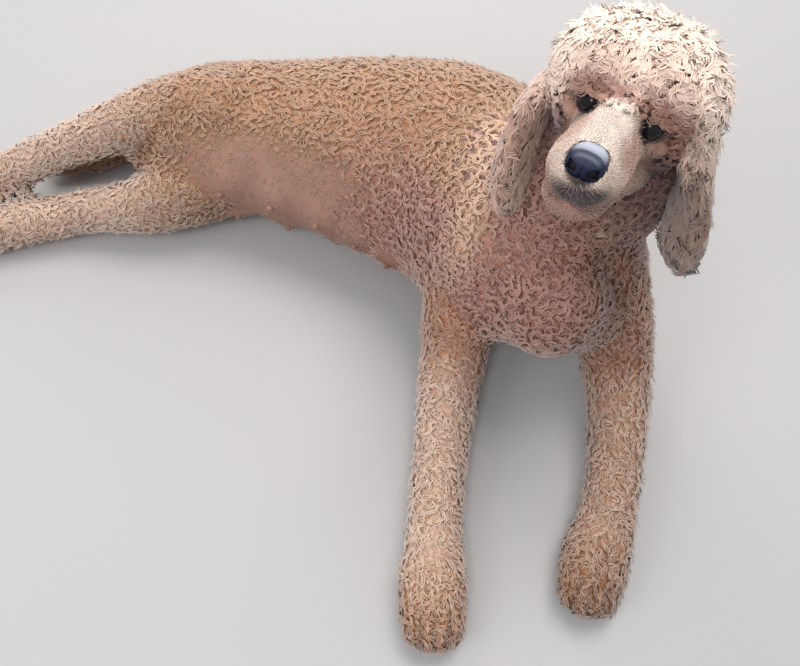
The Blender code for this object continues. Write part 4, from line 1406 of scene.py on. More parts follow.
@dataclass
class Locks:
    """Where the locks of one piece grow, and the shade of each."""

    tips: Array
    normals: Array
    falls: Array
    roots: Array
    colours: Array
    places: Array
    sizes: Array | float = 1.0

    def part(self, keep: Array) -> "Locks":
        """The locks that a mask or a list of numbers picks."""
        sizes = np.broadcast_to(self.sizes, len(self.tips))
        return Locks(*picked(keep, self.tips, self.normals, self.falls, self.roots, self.colours, self.places, sizes))

    def strands(self, style: LockStyle, draw: Draw) -> dict:
        """The middle lines and widths of all strands.

        Args:
            style: The region's way of growing.
            draw: The seeded draw.

        Returns:
            Arrays by name: line, width, normal, along, pick, colour and place.
        """
        total = len(self.tips)
        lock = np.repeat(np.arange(total), style.strands)
        count = len(lock)
        order = np.tile(np.linspace(-1, 1, style.strands), total) + draw.uniform(-0.25, 0.25, count)
        normal = self.normals[lock]
        way = turned_about(self.falls, self.normals, draw.normal(0, style.stray, total))[lock]
        side = np.cross(normal, way)
        hand = np.where(draw.random(total) < 0.5, -1.0, 1.0)[lock]
        turn = np.radians(draw.uniform(*style.turn, total))[lock] * draw.uniform(0.85, 1.15, count) * hand
        size = np.broadcast_to(self.sizes, total)[lock]
        length = style.length * size * draw.uniform(0.6, 1.3, total)[lock] * draw.uniform(0.8, 1.15, count)
        waved = (draw.random(total) < style.waved)[lock][:, None]
        u = np.linspace(0, 1, style.rings - 1)
        middle = (u[1:] + u[:-1]) / 2
        astray = draw.normal(0, style.splay, (count, 1)) + 0.8 * style.splay * order[:, None]
        heading = turn[:, None] * np.where(waved, np.sin(math.pi * middle) - 0.64, middle - 0.5) + astray
        at_rings = turn[:, None] * np.where(waved, np.sin(math.pi * u) - 0.64, u - 0.5) + astray
        step = (length / (style.rings - 2))[:, None]
        start = np.zeros((count, 1))
        fore = np.concatenate([start, np.cumsum(np.cos(heading) * step, 1)], 1)
        across = np.concatenate([start, np.cumsum(np.sin(heading) * step, 1)], 1)
        offset = (order * style.spread)[:, None] * (1 - 0.3 * u**1.5)
        fore += draw.uniform(-0.1, 0.1, (count, 1)) * length[:, None] - fore.mean(1, keepdims=True)
        fore -= np.sin(at_rings) * offset
        across += np.cos(at_rings) * offset - across.mean(1, keepdims=True)
        raised = np.where(draw.random(total) < style.lifted, draw.uniform(0.3, 1, total), -0.15)[lock]
        layer = draw.random(total)
        sink = style.ruffle * (layer[lock] + 0.25 * draw.random(count))
        height = style.arch * (np.sin(math.pi * u**0.8) - 1) - sink[:, None]
        height = height + (style.lift * raised * draw.uniform(0.4, 1.2, count))[:, None] * u**2
        height = height * size[:, None]
        line = self.tips[lock][:, None] + way[:, None] * fore[..., None] + side[:, None] * across[..., None]
        line += normal[:, None] * height[..., None]
        root = self.roots[lock] - way * (0.25 * length)[:, None] - normal * 0.001
        line = np.concatenate([root[:, None], line], 1)
        line[..., 2] = np.maximum(line[..., 2], STRAND_CLEARANCE + 0.0016 * draw.random((count, 1)))
        thick = style.width * np.sqrt(size) * draw.uniform(0.75, 1.25, count)
        shape = np.concatenate([[3.0], 0.85 + 0.45 * np.sin(math.pi * u**0.6) - 0.70 * u**2])
        along = np.concatenate([[0.0], 0.3 + 0.7 * u])
        return {
            "line": line,
            "width": np.minimum(thick[:, None] * shape, 0.95 * line[..., 2]),
            "normal": normal,
            "outward": 3.0,
            "along": np.broadcast_to(along, (count, style.rings)),
            "pick": 0.45 * (1 - layer[lock]) + 0.35 * draw.random(total)[lock] + 0.2 * draw.random(count),
            "colour": self.colours[lock],
            "place": self.places[lock] + draw.uniform(-0.002, 0.002, (count, 2)),
        }


def strand_mesh(name: str, made: dict) -> Thing:
    """Makes closed three-sided tubes that taper to a point.

    Args:
        name: The object's name.
        made: The arrays that Locks.strands() gives.

    Returns:
        The new object, with the map OFBake and what the coat's material reads.
    """
    line, width = made["line"], made["width"]
    count, rings = line.shape[:2]
    ahead = unit(np.gradient(line, axis=1))
    flat = unit(np.cross(made["normal"][:, None], ahead) + 1e-5)
    up = np.cross(ahead, flat)
    turn = 2 * math.pi * np.arange(3) / 3 + math.pi / 2
    around = flat[:, :, None] * np.cos(turn)[:, None] + up[:, :, None] * (0.75 * np.sin(turn))[:, None]
    tube = line[:, :-1, None] + around[:, :-1] * width[:, :-1, None, None]
    points = np.concatenate([tube.reshape(count, -1, 3), line[:, -1:]], 1)
    each = points.shape[1]
    pattern = [(2, 1, 0)]
    for ring in range(rings - 2):
        for k in range(3):
            a, b = ring * 3 + k, ring * 3 + (k + 1) % 3
            pattern.append((a, b, b + 3, a + 3))
    top = (rings - 2) * 3
    pattern += [(top + k, top + (k + 1) % 3, each - 1) for k in range(3)]
    corners = np.array([v for face in pattern for v in face])
    sizes = np.array([len(face) for face in pattern])
    starts = np.concatenate([[0], np.cumsum(sizes)[:-1]])
    base = np.arange(count)[:, None]
    data = bpy.data.meshes.new(name)
    data.vertices.add(count * each)
    data.vertices.foreach_set("co", points.ravel().astype(np.float32))
    data.loops.add(count * len(corners))
    loop_points = (base * each + corners).ravel().astype(np.int32)
    data.loops.foreach_set("vertex_index", loop_points)
    data.polygons.add(count * len(sizes))
    data.polygons.foreach_set("loop_start", (base * len(corners) + starts).ravel().astype(np.int32))
    data.update(calc_edges=True)
    thing = placed(name, data)
    along = np.concatenate([np.repeat(made["along"][:, :-1], 3, 1), made["along"][:, -1:]], 1)
    write_value(thing, "along", along.ravel())
    write_value(thing, "pick", np.repeat(made["pick"], each))
    corner = np.tile(np.concatenate([np.tile([0.0, 1.0, 2.0], rings - 1), [1.0]]), (count, 1))
    pick = made["pick"][:, None]
    grown = np.stack([corner * 3.4 + 57 * pick, along * 3, 31 * pick + 0 * along], 2)
    write_vector(thing, "combed", grown.reshape(-1, 3))
    write_colour(thing, "markings", np.repeat(made["colour"], each, 0))
    if "outward" in made:
        own = np.concatenate([around.reshape(count, rings, 3, 3)[:, :-1].reshape(count, -1, 3), ahead[:, -1:]], 1)
        blend = unit(unit(own) + made["outward"] * made["normal"][:, None])
        thing.data.normals_split_custom_set_from_vertices(blend.reshape(-1, 3).tolist())
    spot = np.tile(np.concatenate([np.tile([-1.0, 0.0, 1.0], rings - 1), [0.0]]), (count, 1))
    patch = np.stack([spot * 0.0015, (along - 0.5) * 0.003], 2) + made["place"][:, None]
    layer = data.uv_layers.new(name="OFBake")
    layer.uv.foreach_set("vector", patch.reshape(-1, 2)[loop_points].ravel().astype(np.float32))
    return thing


def triangles_of(thing: Thing) -> int:
    """How many triangles an object has."""
    thing.data.calc_loop_triangles()
    return len(thing.data.loop_triangles)


def grown(
    name: str, locks: Locks, style: LockStyle, draw: Draw, material: Material, slot: Slot
) -> None:
    """Grows one group of locks, in pieces that each stay under MOST_TRIANGLES triangles.

    Args:
        name: The name that the pieces' names start with.
        locks: Where they grow.
        style: How they grow.
        draw: The seeded draw.
        material: Their finish.
        slot: The record's slot for the finish; not used.
    """
    locks.falls = turned_about(locks.falls, locks.normals, style.swirl * swirls(locks.tips, 0.04, 5))
    each = style.strands * (6 * (style.rings - 2) + 4)
    count = max(1, math.ceil(len(locks.tips) * each / MOST_TRIANGLES))
    order = np.argsort(locks.tips[:, 0] + 0.3 * locks.tips[:, 1])
    for number, mine in enumerate(np.array_split(order, count)):
        title = name if count == 1 else f"{name}_{number + 1}"
        thing = strand_mesh(title, locks.part(mine).strands(style, draw))
        set_down(thing, material)
        log.info("%s: %d locks, %d triangles", title, len(mine), triangles_of(thing))


def short_hair(locks: Locks, length: Array, width: float, draw: Draw) -> dict:
    """Single short hairs that lie close to the skin.

    Args:
        locks: Where they grow; the tips are the places on the skin.
        length: The length of each.
        width: Their half width.
        draw: The seeded draw.

    Returns:
        The arrays that strand_mesh() takes.
    """
    count = len(locks.tips)
    size = length * draw.uniform(0.7, 1.3, count)
    u = np.array([0, 0.45, 1.0])
    rise = np.array([-0.0004, 0.0009, 0.0013])
    line = locks.tips[:, None] + locks.falls[:, None] * (size[:, None] * u)[..., None]
    line += locks.normals[:, None] * rise[None, :, None]
    line[..., 2] = np.maximum(line[..., 2], STRAND_CLEARANCE)
    return {
        "line": line,
        "width": (width * draw.uniform(0.7, 1.3, count))[:, None] * np.array([1.0, 0.8, 0.0]),
        "normal": locks.normals,
        "along": np.broadcast_to(0.45 + 0.55 * u, (count, 3)),
        "pick": draw.random(count),
        "colour": locks.colours,
        "place": locks.places,
    }


class BodyCoat:
    """The coat of trunk, chest, neck, legs and tail."""

    envelope_voxel = 0.008
    tips_share = 0.90
    density = 110_000
    foot_from = 0.84
    chest_from = 0.56
    into_head = 0.006
    deepest = 0.0130
    belly_density = 75_000
    belly_hair = (0.0075, 0.00045)

    def __init__(self, skin: Skin, skin_tree: BVHTree, head_tree: BVHTree) -> None:
        """Takes the skin that the coat grows on and the surface of the head's own coat."""
        self.skin = skin
        self.skin_tree = skin_tree
        self.head_tree = head_tree

    def envelope(self) -> Thing:
        """The surface that the tips reach."""
        return fused("envelope", self.skin.body.shapes(self.tips_share), self.envelope_voxel, 2)

    def locks(self, draw: Draw) -> tuple:
        """Where the locks grow.

        Args:
            draw: The seeded draw.

        Returns:
            The locks, and the nearest row of each on the spine.
        """
        cover = self.envelope()
        points, normals = spread_points(cover, self.density, draw)
        drop(cover)
        keep = (points[:, 2] > 0.003) & ~((points[:, 2] < 0.010) & (normals[:, 2] < -0.75))
        points, normals = picked(keep, points, normals)
        rows = self.skin.spine.nearest(points)
        regions = self.skin.spine.regions
        leg = np.isin(rows[:, 0], [i for i, r in enumerate(regions) if "leg" in r.value])
        spacing = np.where(leg, LEG_FLUFF.spacing, FLUFF.spacing)
        spacing = np.where(leg & (rows[:, 1] > self.foot_from), FOOT_FLUFF.spacing, spacing)
        spacing = spacing * (1 + 0.35 * soft_step(normals[:, 2], -0.25, -0.55))
        points, normals, rows = picked(thinned(points, spacing), points, normals, rows)
        clear = ~inside(self.head_tree, points, self.into_head)
        points, normals, rows = picked(clear, points, normals, rows)
        bare = bare_belly(points, rows, regions)
        kept = draw.random(len(points)) > bare * 1.15
        points, normals, rows, bare = picked(kept, points, normals, rows, bare)
        forward = np.isin(rows[:, 0], [regions.index(Region.TRUNK), regions.index(Region.NECK)])
        falls = rows[:, ALONG] * np.where(forward, -1, 1)[:, None] + np.array((0, 0, -0.45))
        falls = laid(falls, normals)
        roots = roots_on(self.skin_tree, points)
        depth = np.linalg.norm(points - roots, axis=1)
        points = roots + (points - roots) * (1 - 0.85 * bare)[:, None]
        points[depth < 0.004] += normals[depth < 0.004] * 0.002
        arrays = (points, normals, rows, falls, roots, bare)
        points, normals, rows, falls, roots, bare = picked(depth < self.deepest, *arrays)
        creases = TOES.of_all(points)
        points -= normals * (TOES.depth * creases)[:, None]
        # painted shade: the locks in the creases between the toes are darkened
        colours = MARKS.on_body(points, rows, regions) * (1 - 0.6 * creases)[:, None]
        places = self.skin.spine.unwrap(roots, rows)
        return Locks(points, normals, falls, roots, colours, places, 1 - 0.72 * bare - 0.25 * creases), rows

    def belly(self, hide: Thing, draw: Draw) -> Locks:
        """Where the sparse short hair of the belly grows.

        Args:
            hide: The skin, in the pose's own frame.
            draw: The seeded draw.

        Returns:
            The hairs' places.
        """
        points, normals = spread_points(hide, self.belly_density, draw)
        rows = self.skin.spine.nearest(points)
        bare = bare_belly(points, rows, self.skin.spine.regions)
        keep = (bare > 0.05) & (draw.random(len(points)) < 1.25 - 0.85 * bare) & (points[:, 2] > 0.004)
        points, normals, rows = picked(keep, points, normals, rows)
        falls = laid(-rows[:, ALONG] - 0.5 * rows[:, BACK], normals)
        falls = turned_about(falls, normals, 0.7 * swirls(points, 0.05, 8) + draw.normal(0, 0.3, len(points)))
        colours = MARKS.on_body(points, rows, self.skin.spine.regions) * 0.85
        return Locks(points, normals, falls, points, colours, self.skin.spine.unwrap(points, rows))

    def build(self, hide: Thing, draw: Draw, finishes: dict) -> None:
        """Builds each piece of the coat and dresses it.

        Args:
            hide: The skin, in the pose's own frame.
            draw: The seeded draw.
            finishes: The finishes by name.
        """
        sparse = self.belly(hide, draw)
        length, width = self.belly_hair
        thing = strand_mesh("coat_belly", short_hair(sparse, np.full(len(sparse.tips), length), width, draw))
        set_down(thing, finishes["short"])
        log.info("coat_belly: %d triangles", triangles_of(thing))
        locks, rows = self.locks(draw)
        regions = self.skin.spine.regions
        chest, foot = locks.tips[:, 1] < self.chest_from, rows[:, 1] > self.foot_from
        for number, region in enumerate(regions):
            mine, name = rows[:, 0].astype(int) == number, region.value
            groups = {name: (mine & ~foot, LEG_FLUFF), name + "_foot": (mine & foot, FOOT_FLUFF)}
            if region is Region.TRUNK:
                groups = {name: (mine & ~chest, FLUFF), Region.CHEST.value: (mine & chest, RINGLET)}
            elif region in (Region.NECK, Region.TAIL):
                groups = {name: (mine, RINGLET if region is Region.NECK else FLUFF)}
            for name, (mask, style) in groups.items():
                finish = finishes["leg" if "leg" in name else "chest" if style is RINGLET else "wool"]
                grown("coat_" + name, locks.part(mask), style, draw, finish, Slot.COAT)


class HeadCoat:
    """The coat of the crown, the ears and the clipped face."""

    crown_density = 220_000
    ear_density = 160_000
    face_density = 1_500_000
    face_spacing = 0.0017
    face_width = 0.0006

    def __init__(self, skin: Skin, skin_tree: BVHTree) -> None:
        """Takes the skin that the coat grows on."""
        self.skin = skin
        self.head = skin.head
        self.skin_tree = skin_tree

    def envelope(self) -> Thing:
        """The surface of crown and face, in the head's own frame."""
        shapes = [self.skin.skull(0.007)]
        shapes += [ball("crown", blob.at, blob.half) for blob in self.head.crown]
        return fused("crown", shapes, 0.004, 4)

    def crown(self, cover: Thing, draw: Draw) -> Locks:
        """Where the locks of the crown grow.

        Args:
            cover: The surface that the tips reach, in the head's own frame.
            draw: The seeded draw.

        Returns:
            The locks.
        """
        local, normals = spread_points(cover, self.crown_density, draw)
        edge = wool_edge(local) + 0.008 * soft_step(local[:, 2], 0.004, 0.016)
        behind = edge - local[:, 0]
        local, normals, behind = picked(behind > 0, local, normals, behind)
        full = np.sqrt(soft_step(behind, -0.006, 0.020))[:, None]
        ground = HEAD.inward(roots_on(self.skin_tree, HEAD.outward(local)))
        local = ground + (local - ground) * (0.16 + 0.84 * full)
        normals = unit(normals + (1 - full) * 1.2 * np.array((1.0, 0, -0.3)))
        clear = from_eyes(local) > np.where(local[:, 2] > 0.006, 0.0122, 0.0175)
        local, normals, full = picked(clear, local, normals, full)
        brow = soft_step(local[:, 0], -0.035, 0.0)
        kept = thinned(local, CROWN_CURL.spacing * (1 - 0.15 * brow))
        local, normals, full = picked(kept, local, normals, full[:, 0])
        points, ways = HEAD.outward(local), HEAD.turned(normals)
        roots = roots_on(self.skin_tree, points)
        down = HEAD.turned(np.repeat(np.array([[0.1, 0, -1.0]]), len(points), 0))
        lon = np.arctan2(local[:, 1], -local[:, 0] - 0.05)
        lat = np.arctan2(local[:, 2], np.hypot(local[:, 0] + 0.06, local[:, 1]))
        places = np.stack([0.5 + lon / (2 * math.pi) * 0.96, 0.5 + lat / math.pi * 0.96], 1)
        return Locks(points, ways, laid(down, ways), roots, MARKS.on_head(local), places, 0.6 + 0.4 * full)

    def ear_locks(self, region: Region, stations: tuple, draw: Draw) -> Locks:
        """Where the long waved locks of one ear grow.

        Args:
            region: Which ear.
            stations: Its stations.
            draw: The seeded draw.

        Returns:
            The locks.
        """
        cover = loft("cover", stations, share=0.75, thin=0.8, steps=10, sides=48)
        local, normals = spread_points(cover, self.ear_density, draw)
        drop(cover)
        local, normals = picked(thinned(local, np.full(len(local), EAR_WAVE.spacing)), local, normals)
        spine = Spine({region: stations})
        rows = spine.nearest(local)
        normals = normals * np.sign(((local - rows[:, MIDDLE]) * normals).sum(1))[:, None]
        points, ways = HEAD.outward(local), HEAD.turned(normals)
        falls = laid(HEAD.turned(rows[:, ALONG]) + np.array((0, 0, -0.3)), ways)
        colour = np.repeat(linear(MARKS.ears)[None], len(local), 0)
        colour = mixed(linear(MARKS.crown) + 0 * colour, colour, soft_step(rows[:, 1], 0.0, 0.4))
        # painted shade: the left ear is darkened down its length, as if it lay in shade
        shade = 0.60 * soft_step(rows[:, 1], 0.05, 0.45) if region is Region.EAR_LEFT else 0 * rows[:, 1]
        colour = colour * (1 - shade)[:, None]
        middle = HEAD.outward(rows[:, MIDDLE])
        roots = middle + 0.35 * (points - middle)
        return Locks(points, ways, falls, roots, colour, spine.unwrap(local, rows))

    def face_hair(self, draw: Draw) -> dict:
        """The short hair that breaks the form of the clipped face.

        Args:
            draw: The seeded draw.

        Returns:
            The arrays that strand_mesh() takes.
        """
        shapes = [self.skin.skull(0.001)]
        shapes += [loft("jaw", self.head.stations(self.head.jaw), grow=0.001)]
        cover = fused("face", shapes, 0.003, 3)
        local, _ = spread_points(cover, self.face_density, draw)
        drop(cover)
        local = local[local[:, 0] > face_edge(local[:, 2]) - 0.012]
        local = local[thinned(local, np.full(len(local), self.face_spacing))]
        found = [self.skin_tree.find_nearest(Vector(p)) for p in HEAD.outward(local)]
        roots = np.array([tuple(f[0]) for f in found])
        normals = np.array([tuple(f[1]) for f in found])
        local = HEAD.inward(roots)
        mouth, _ = distance_to_path(mirrored(local), self.head.mouth())
        rims = np.concatenate([EYE.rim(side) for side in (1, -1)])
        eyes = np.min(np.linalg.norm(local[:, None] - rims[None], axis=2), axis=1)
        nose = np.linalg.norm((local - (0.127, 0, -0.004)) / (0.016, 0.0172, 0.0155), axis=1)
        keep = (mouth > 0.0020) & (eyes > 0.0038) & (from_eyes(local) > EYE.radius + 0.001) & (nose > 1.0)
        local, normals, roots = picked(keep, local, normals, roots)
        count = len(local)
        back = HEAD.turned(np.repeat(np.array([[-1.0, 0, 0.0]]), count, 0) + local * (0, 6.0, 6.0))
        falls = turned_about(laid(back, normals), normals, 0.4 * swirls(local, 0.03, 3) + draw.normal(0, 0.25, count))
        size = 0.0038 + 0.0060 * soft_step(local[:, 0], 0.06, -0.02)
        size = size + 0.004 * soft_step(local[:, 2], -0.040, -0.056)
        lon = np.arctan2(local[:, 1], local[:, 2] + 0.02)
        places = np.stack([0.5 + lon / (2 * math.pi) * 0.96, 0.05 + 0.9 * (local[:, 0] + 0.08) / 0.23], 1)
        colours = mixed(MARKS.on_head(local), linear(MARKS.rims), soft_step(eyes[keep], 0.0085, 0.0040))
        hairs = Locks(roots, normals, falls, roots, colours, places)
        return short_hair(hairs, size, self.face_width, draw)

    def build(self, draw: Draw, finishes: dict) -> BVHTree:
        """Builds the coat of the head.

        Args:
            draw: The seeded draw.
            finishes: The finishes by name.

        Returns:
            A search tree over the crown's surface, in the pose's own frame.
        """
        cover = self.envelope()
        locks = self.crown(cover, draw)
        cover.data.transform(HEAD.matrix())
        tree = tree_of(cover)
        drop(cover)
        high = HEAD.inward(locks.tips)
        high = soft_step(high[:, 2] + 0.35 * np.abs(high[:, 1]) - 0.3 * high[:, 0], 0.045, 0.085)
        high = draw.random(len(high)) < high
        grown("coat_crown", locks.part(high), CROWN_FLAME, draw, finishes["crown"], Slot.COAT)
        grown("coat_brow", locks.part(~high), CROWN_CURL, draw, finishes["brow"], Slot.COAT)
        for region, stations in self.head.ears().items():
            ear = self.ear_locks(region, stations, draw)
            grown("coat_" + region.value, ear, EAR_WAVE, draw, finishes["wool"], Slot.EAR)
        thing = strand_mesh("coat_face", self.face_hair(draw))
        set_down(thing, finishes["short"])
        log.info("coat_face: %d triangles", triangles_of(thing))
        return tree


@dataclass
class NoseLeather:
    """The nose leather with its nostrils."""

    sections: tuple = (
        Section(0.110, 0.0080, -0.0150, 0.0132),
        Section(0.116, 0.0094, -0.0165, 0.0153),
        Section(0.122, 0.0098, -0.0173, 0.0164),
        Section(0.130, 0.0078, -0.0163, 0.0158),
        Section(0.1345, 0.0038, -0.0113, 0.0118),
    )

    def build(self, material: Material) -> Thing:
        """Builds the nose leather and dresses it."""
        made = fused("nose_leather", [loft("nose", HEAD_SIZES.stations(self.sections), power=2.5)], 0.0006, 3)
        points, normals = points_of(made), normals_of(made)
        x, y, z = points[:, 0], np.abs(points[:, 1]), points[:, 2]
        front = soft_step(x, 0.118, 0.128)
        cleft = np.exp(-((y / 0.0010) ** 2)) * soft_step(z, 0.003, -0.004)
        hole = ((y - 0.0085) / 0.0040) ** 2 + ((z + 0.0050 - 0.25 * (y - 0.0085)) / 0.0036) ** 2
        slit = ((z + 0.0082) / 0.0013) ** 2 + ((y - 0.0135) / 0.0052) ** 2
        depth = np.maximum(soft_step(hole, 1.5, 0.5), soft_step(slit, 1.6, 0.6)) * front
        points -= normals * (0.0012 * cleft * front)[:, None]
        points -= np.array((0.9, 0.0, 0.2)) * (0.0050 * depth)[:, None]
        set_points(made, points)
        write_value(made, "hollow", depth)
        # painted highlight: the upward-facing top of the nose is marked to be paled, as if it caught light from above
        write_value(made, "mottle_and_highlight", soft_step(normals[:, 2], 0.34, 1.0) * soft_step(points[:, 0], 0.138, 0.123))
        made.data.transform(HEAD.matrix())
        set_down(made, material)
        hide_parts("nose")
        return made


@dataclass
class Eyes:
    """The two eyeballs."""

    finer: int = 3
    behind: float = 0.02

    def build(self, material: Material) -> list:
        """Builds both eyes and dresses them."""
        made = []
        for side, word in ((-1, "right"), (1, "left")):
            eye = ball("eyeball_" + word, (0, 0, 0), [EYE.radius] * 3, finer=self.finer)
            points = points_of(eye)
            off_axis = np.hypot(points[:, 1], points[:, 2])
            front = points[:, 0] > 0
            write_value(eye, "off_axis", np.where(front, off_axis, self.behind))
            eye.data.transform(Matrix.Translation(EYE.middle(side)) @ EYE.turn(side))
            eye.data.transform(HEAD.matrix())
            set_down(eye, material)
            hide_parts("eye_" + word)
            made.append(eye)
        return made


@dataclass
class Claws:
    """The claws of the four feet."""

    length: float = 0.0088
    radius: float = 0.0034
    pitch: float = 0.0150
    rings: int = 10

    def build(self, material: Material) -> list:
        """Builds the claws of each foot as one piece."""
        made = []
        for region, stations in DOG.parts().items():
            if "leg" in region.value:
                foot = joined("claws_" + region.value, self.claws(stations))
                made.append(set_down(foot, material))
        return made

    def claws(self, stations: tuple) -> list:
        """Four claws at the end of a foot."""
        tip, before = Vector(stations[-1].at), Vector(stations[-2].at)
        ahead = (tip - before).normalized()
        side = ahead.cross(Vector((0, 0, 1))).normalized()
        through, coat = stations[-1].through, stations[-1].coat
        made = []
        for k in range(4):
            offset = k - 1.5
            at = tip + ahead * (through * 0.7 + coat * 0.45 - 0.0035 * offset * offset) + side * offset * self.pitch
            at.z = 0.0095
            aim = (ahead + side * offset * 0.12).normalized()
            rings = []
            for i in range(self.rings):
                t = i / (self.rings - 1)
                middle = at + aim * self.length * (2 * t - 1) - Vector((0, 0, 0.0068 * t * t))
                size = self.radius * (1 - t**3) + 0.0005
                rings.append((middle, aim, size))
            made.append(self.claw(rings))
        return made

    def claw(self, rings: list) -> Thing:
        """One claw from its rings."""
        points = []
        for middle, aim, size in rings:
            side = aim.cross(Vector((0, 0, 1))).normalized()
            up = side.cross(aim)
            for k in range(10):
                a = 2 * math.pi * k / 10
                points.append(middle + side * math.cos(a) * size * 0.8 + up * math.sin(a) * size)
        faces = [list(range(10)), list(range(len(points) - 10, len(points)))[::-1]]
        for ring in range(len(rings) - 1):
            for k in range(10):
                a, b = ring * 10 + k, ring * 10 + (k + 1) % 10
                faces.append((b, a, a + 10, b + 10))
        return add_mesh("claw", np.array([tuple(p) for p in points]), faces)


class Nodes:
    """A node tree that is being laid out."""

    def __init__(self, tree: NodeTree) -> None:
        """Starts on a tree."""
        self.tree = tree

    def add(self, kind: str, **settings: object) -> bpy.types.Node:
        """Adds a node and sets its properties."""
        node = self.tree.nodes.new("ShaderNode" + kind)
        for name, value in settings.items():
            setattr(node, name, value)
        return node

    def feed(self, node: bpy.types.Node, inputs: dict) -> bpy.types.Node:
        """Links a node's inputs to sockets, or sets them to numbers or colours.

        Args:
            node: The node.
            inputs: A socket, a number or a colour by each input's name or place.

        Returns:
            The node.
        """
        for key, value in inputs.items():
            if isinstance(value, Socket):
                self.tree.links.new(value, node.inputs[key])
            elif isinstance(value, (int, float)):
                node.inputs[key].default_value = value
            else:
                node.inputs[key].default_value = (*value, 1)
        return node

    def attribute(self, name: str, output: str = "Fac") -> Socket:
        """What is stored under a name at each vertex."""
        return self.add("Attribute", attribute_name=name).outputs[output]

    def math(self, operation: str, *values: object) -> Socket:
        """The result of a sum on sockets or numbers."""
        return self.feed(self.add("Math", operation=operation), dict(enumerate(values))).outputs[0]

    def mix(self, factor: object, first: object, second: object, way: str = "MIX") -> Socket:
        """Two colours mixed."""
        node = self.add("Mix", data_type="RGBA", blend_type=way)
        return self.feed(node, {0: factor, 6: first, 7: second}).outputs[2]

    def ramp(self, value: Socket, low: float, high: float) -> Socket:
        """A value clipped and stretched to 0 and 1."""
        return self.feed(self.add("MapRange", clamp=True), {0: value, 1: low, 2: high}).outputs[0]

    def grey(self, level: Socket) -> Socket:
        """The grey of some level."""
        return self.feed(self.add("CombineColor"), {0: level, 1: level, 2: level}).outputs[0]

    def texture(self, kind: str, inputs: dict, **settings: object) -> bpy.types.Node:
        """A texture over the object's own coordinates."""
        where = self.add("TexCoord").outputs["Object"]
        return self.feed(self.add("Tex" + kind, **settings), {"Vector": where, **inputs})

    def streaks(self, grain: NodeTree) -> bpy.types.Node:
        """The group of fine streaks, laid along the stored lie of the hair."""
        inputs = {"Vector": self.attribute("combed", "Vector"), "Scale": 1.0}
        return self.feed(self.add("Group", node_tree=grain), inputs)

    def finish(self, inputs: dict) -> None:
        """Sets inputs of the material's own shader."""
        self.feed(self.tree.nodes["Principled BSDF"], inputs)

    def bump(self, height: Socket, strength: float, distance: float) -> None:
        """Gives the material's own shader a bump."""
        inputs = {"Strength": strength, "Distance": distance, "Height": height}
        self.finish({"Normal": self.feed(self.add("Bump"), inputs).outputs["Normal"]})


def new_group(name: str, inputs: dict, outputs: dict) -> tuple:
    """Starts a shader node group.

    Args:
        name: The group's name.
        inputs: The type of each input by its name.
        outputs: The type of each output by its name.

    Returns:
        The group, its nodes, its input node and its output node.
    """
    group = bpy.data.node_groups.new(name, "ShaderNodeTree")
    for title, kind in inputs.items():
        group.interface.new_socket(name=title, in_out="INPUT", socket_type="NodeSocket" + kind)
    for title, kind in outputs.items():
        group.interface.new_socket(name=title, in_out="OUTPUT", socket_type="NodeSocket" + kind)
    nodes = Nodes(group)
    return group, nodes, group.nodes.new("NodeGroupInput"), group.nodes.new("NodeGroupOutput")


def hair_grain() -> NodeTree:
    """The group that gives the fine streaks of short hair, and patches of a few centimetres."""
    inputs = {"Vector": "Vector", "Scale": "Float"}
    group, nodes, start, end = new_group("hair_grain", inputs, {"Streak": "Float", "Patch": "Float"})
    streak = nodes.feed(nodes.add("TexNoise"), {"Detail": 4, "Roughness": 0.65})
    nodes.feed(streak, {name: start.outputs[name] for name in inputs})
    patch = nodes.texture("Noise", {"Scale": 26, "Detail": 3})
    nodes.feed(end, {"Streak": nodes.ramp(streak.outputs["Fac"], 0.3, 0.7)})
    nodes.feed(end, {"Patch": nodes.ramp(patch.outputs["Fac"], 0.3, 0.7)})
    return group


def new_material(name: str) -> tuple:
    """A new material and its nodes."""
    material = bpy.data.materials.new(name)
    material.use_nodes = True
    return material, Nodes(material.node_tree)


@dataclass(frozen=True)
class WoolFinish:
    """Wool that is darker at the root and pale at the tip, each lock a little different."""

    name: str = "wool"
    root: tuple = (1.0, 0.93, 0.87)
    tip: str = "#f4dac6"
    tip_share: float = 0.25
    roughness: float = 0.62
    sheen: float = 0.45

    def make(self, grain: NodeTree) -> Material:
        """Makes the material."""
        material, nodes = new_material(self.name)
        along, pick = nodes.attribute("along"), nodes.attribute("pick")
        group = nodes.streaks(grain)
        light = nodes.math("MULTIPLY_ADD", pick, 0.20, 0.90)
        patch = nodes.math("MULTIPLY_ADD", group.outputs["Patch"], 0.16, 0.92)
        hairs = nodes.math("MULTIPLY_ADD", group.outputs["Streak"], 0.24, 0.88)
        level = nodes.math("MULTIPLY", nodes.math("MULTIPLY", light, patch), hairs)
        base = nodes.mix(1.0, nodes.attribute("markings", "Color"), nodes.grey(level), "MULTIPLY")
        dark = nodes.mix(1.0, base, self.root, "MULTIPLY")
        body = nodes.mix(nodes.ramp(along, 0.10, 0.50), dark, base)
        paler = nodes.math("MULTIPLY", nodes.ramp(along, 0.45, 1.0), self.tip_share)
        paler = nodes.math("MULTIPLY", paler, nodes.ramp(pick, -0.2, 0.9))
        colour = nodes.mix(paler, body, linear(self.tip))
        nodes.finish({"Base Color": colour, "Roughness": self.roughness})
        nodes.finish({"Sheen Weight": self.sheen, "Specular IOR Level": 0.3})
        nodes.bump(group.outputs["Streak"], 0.5, 0.0004)
        return material


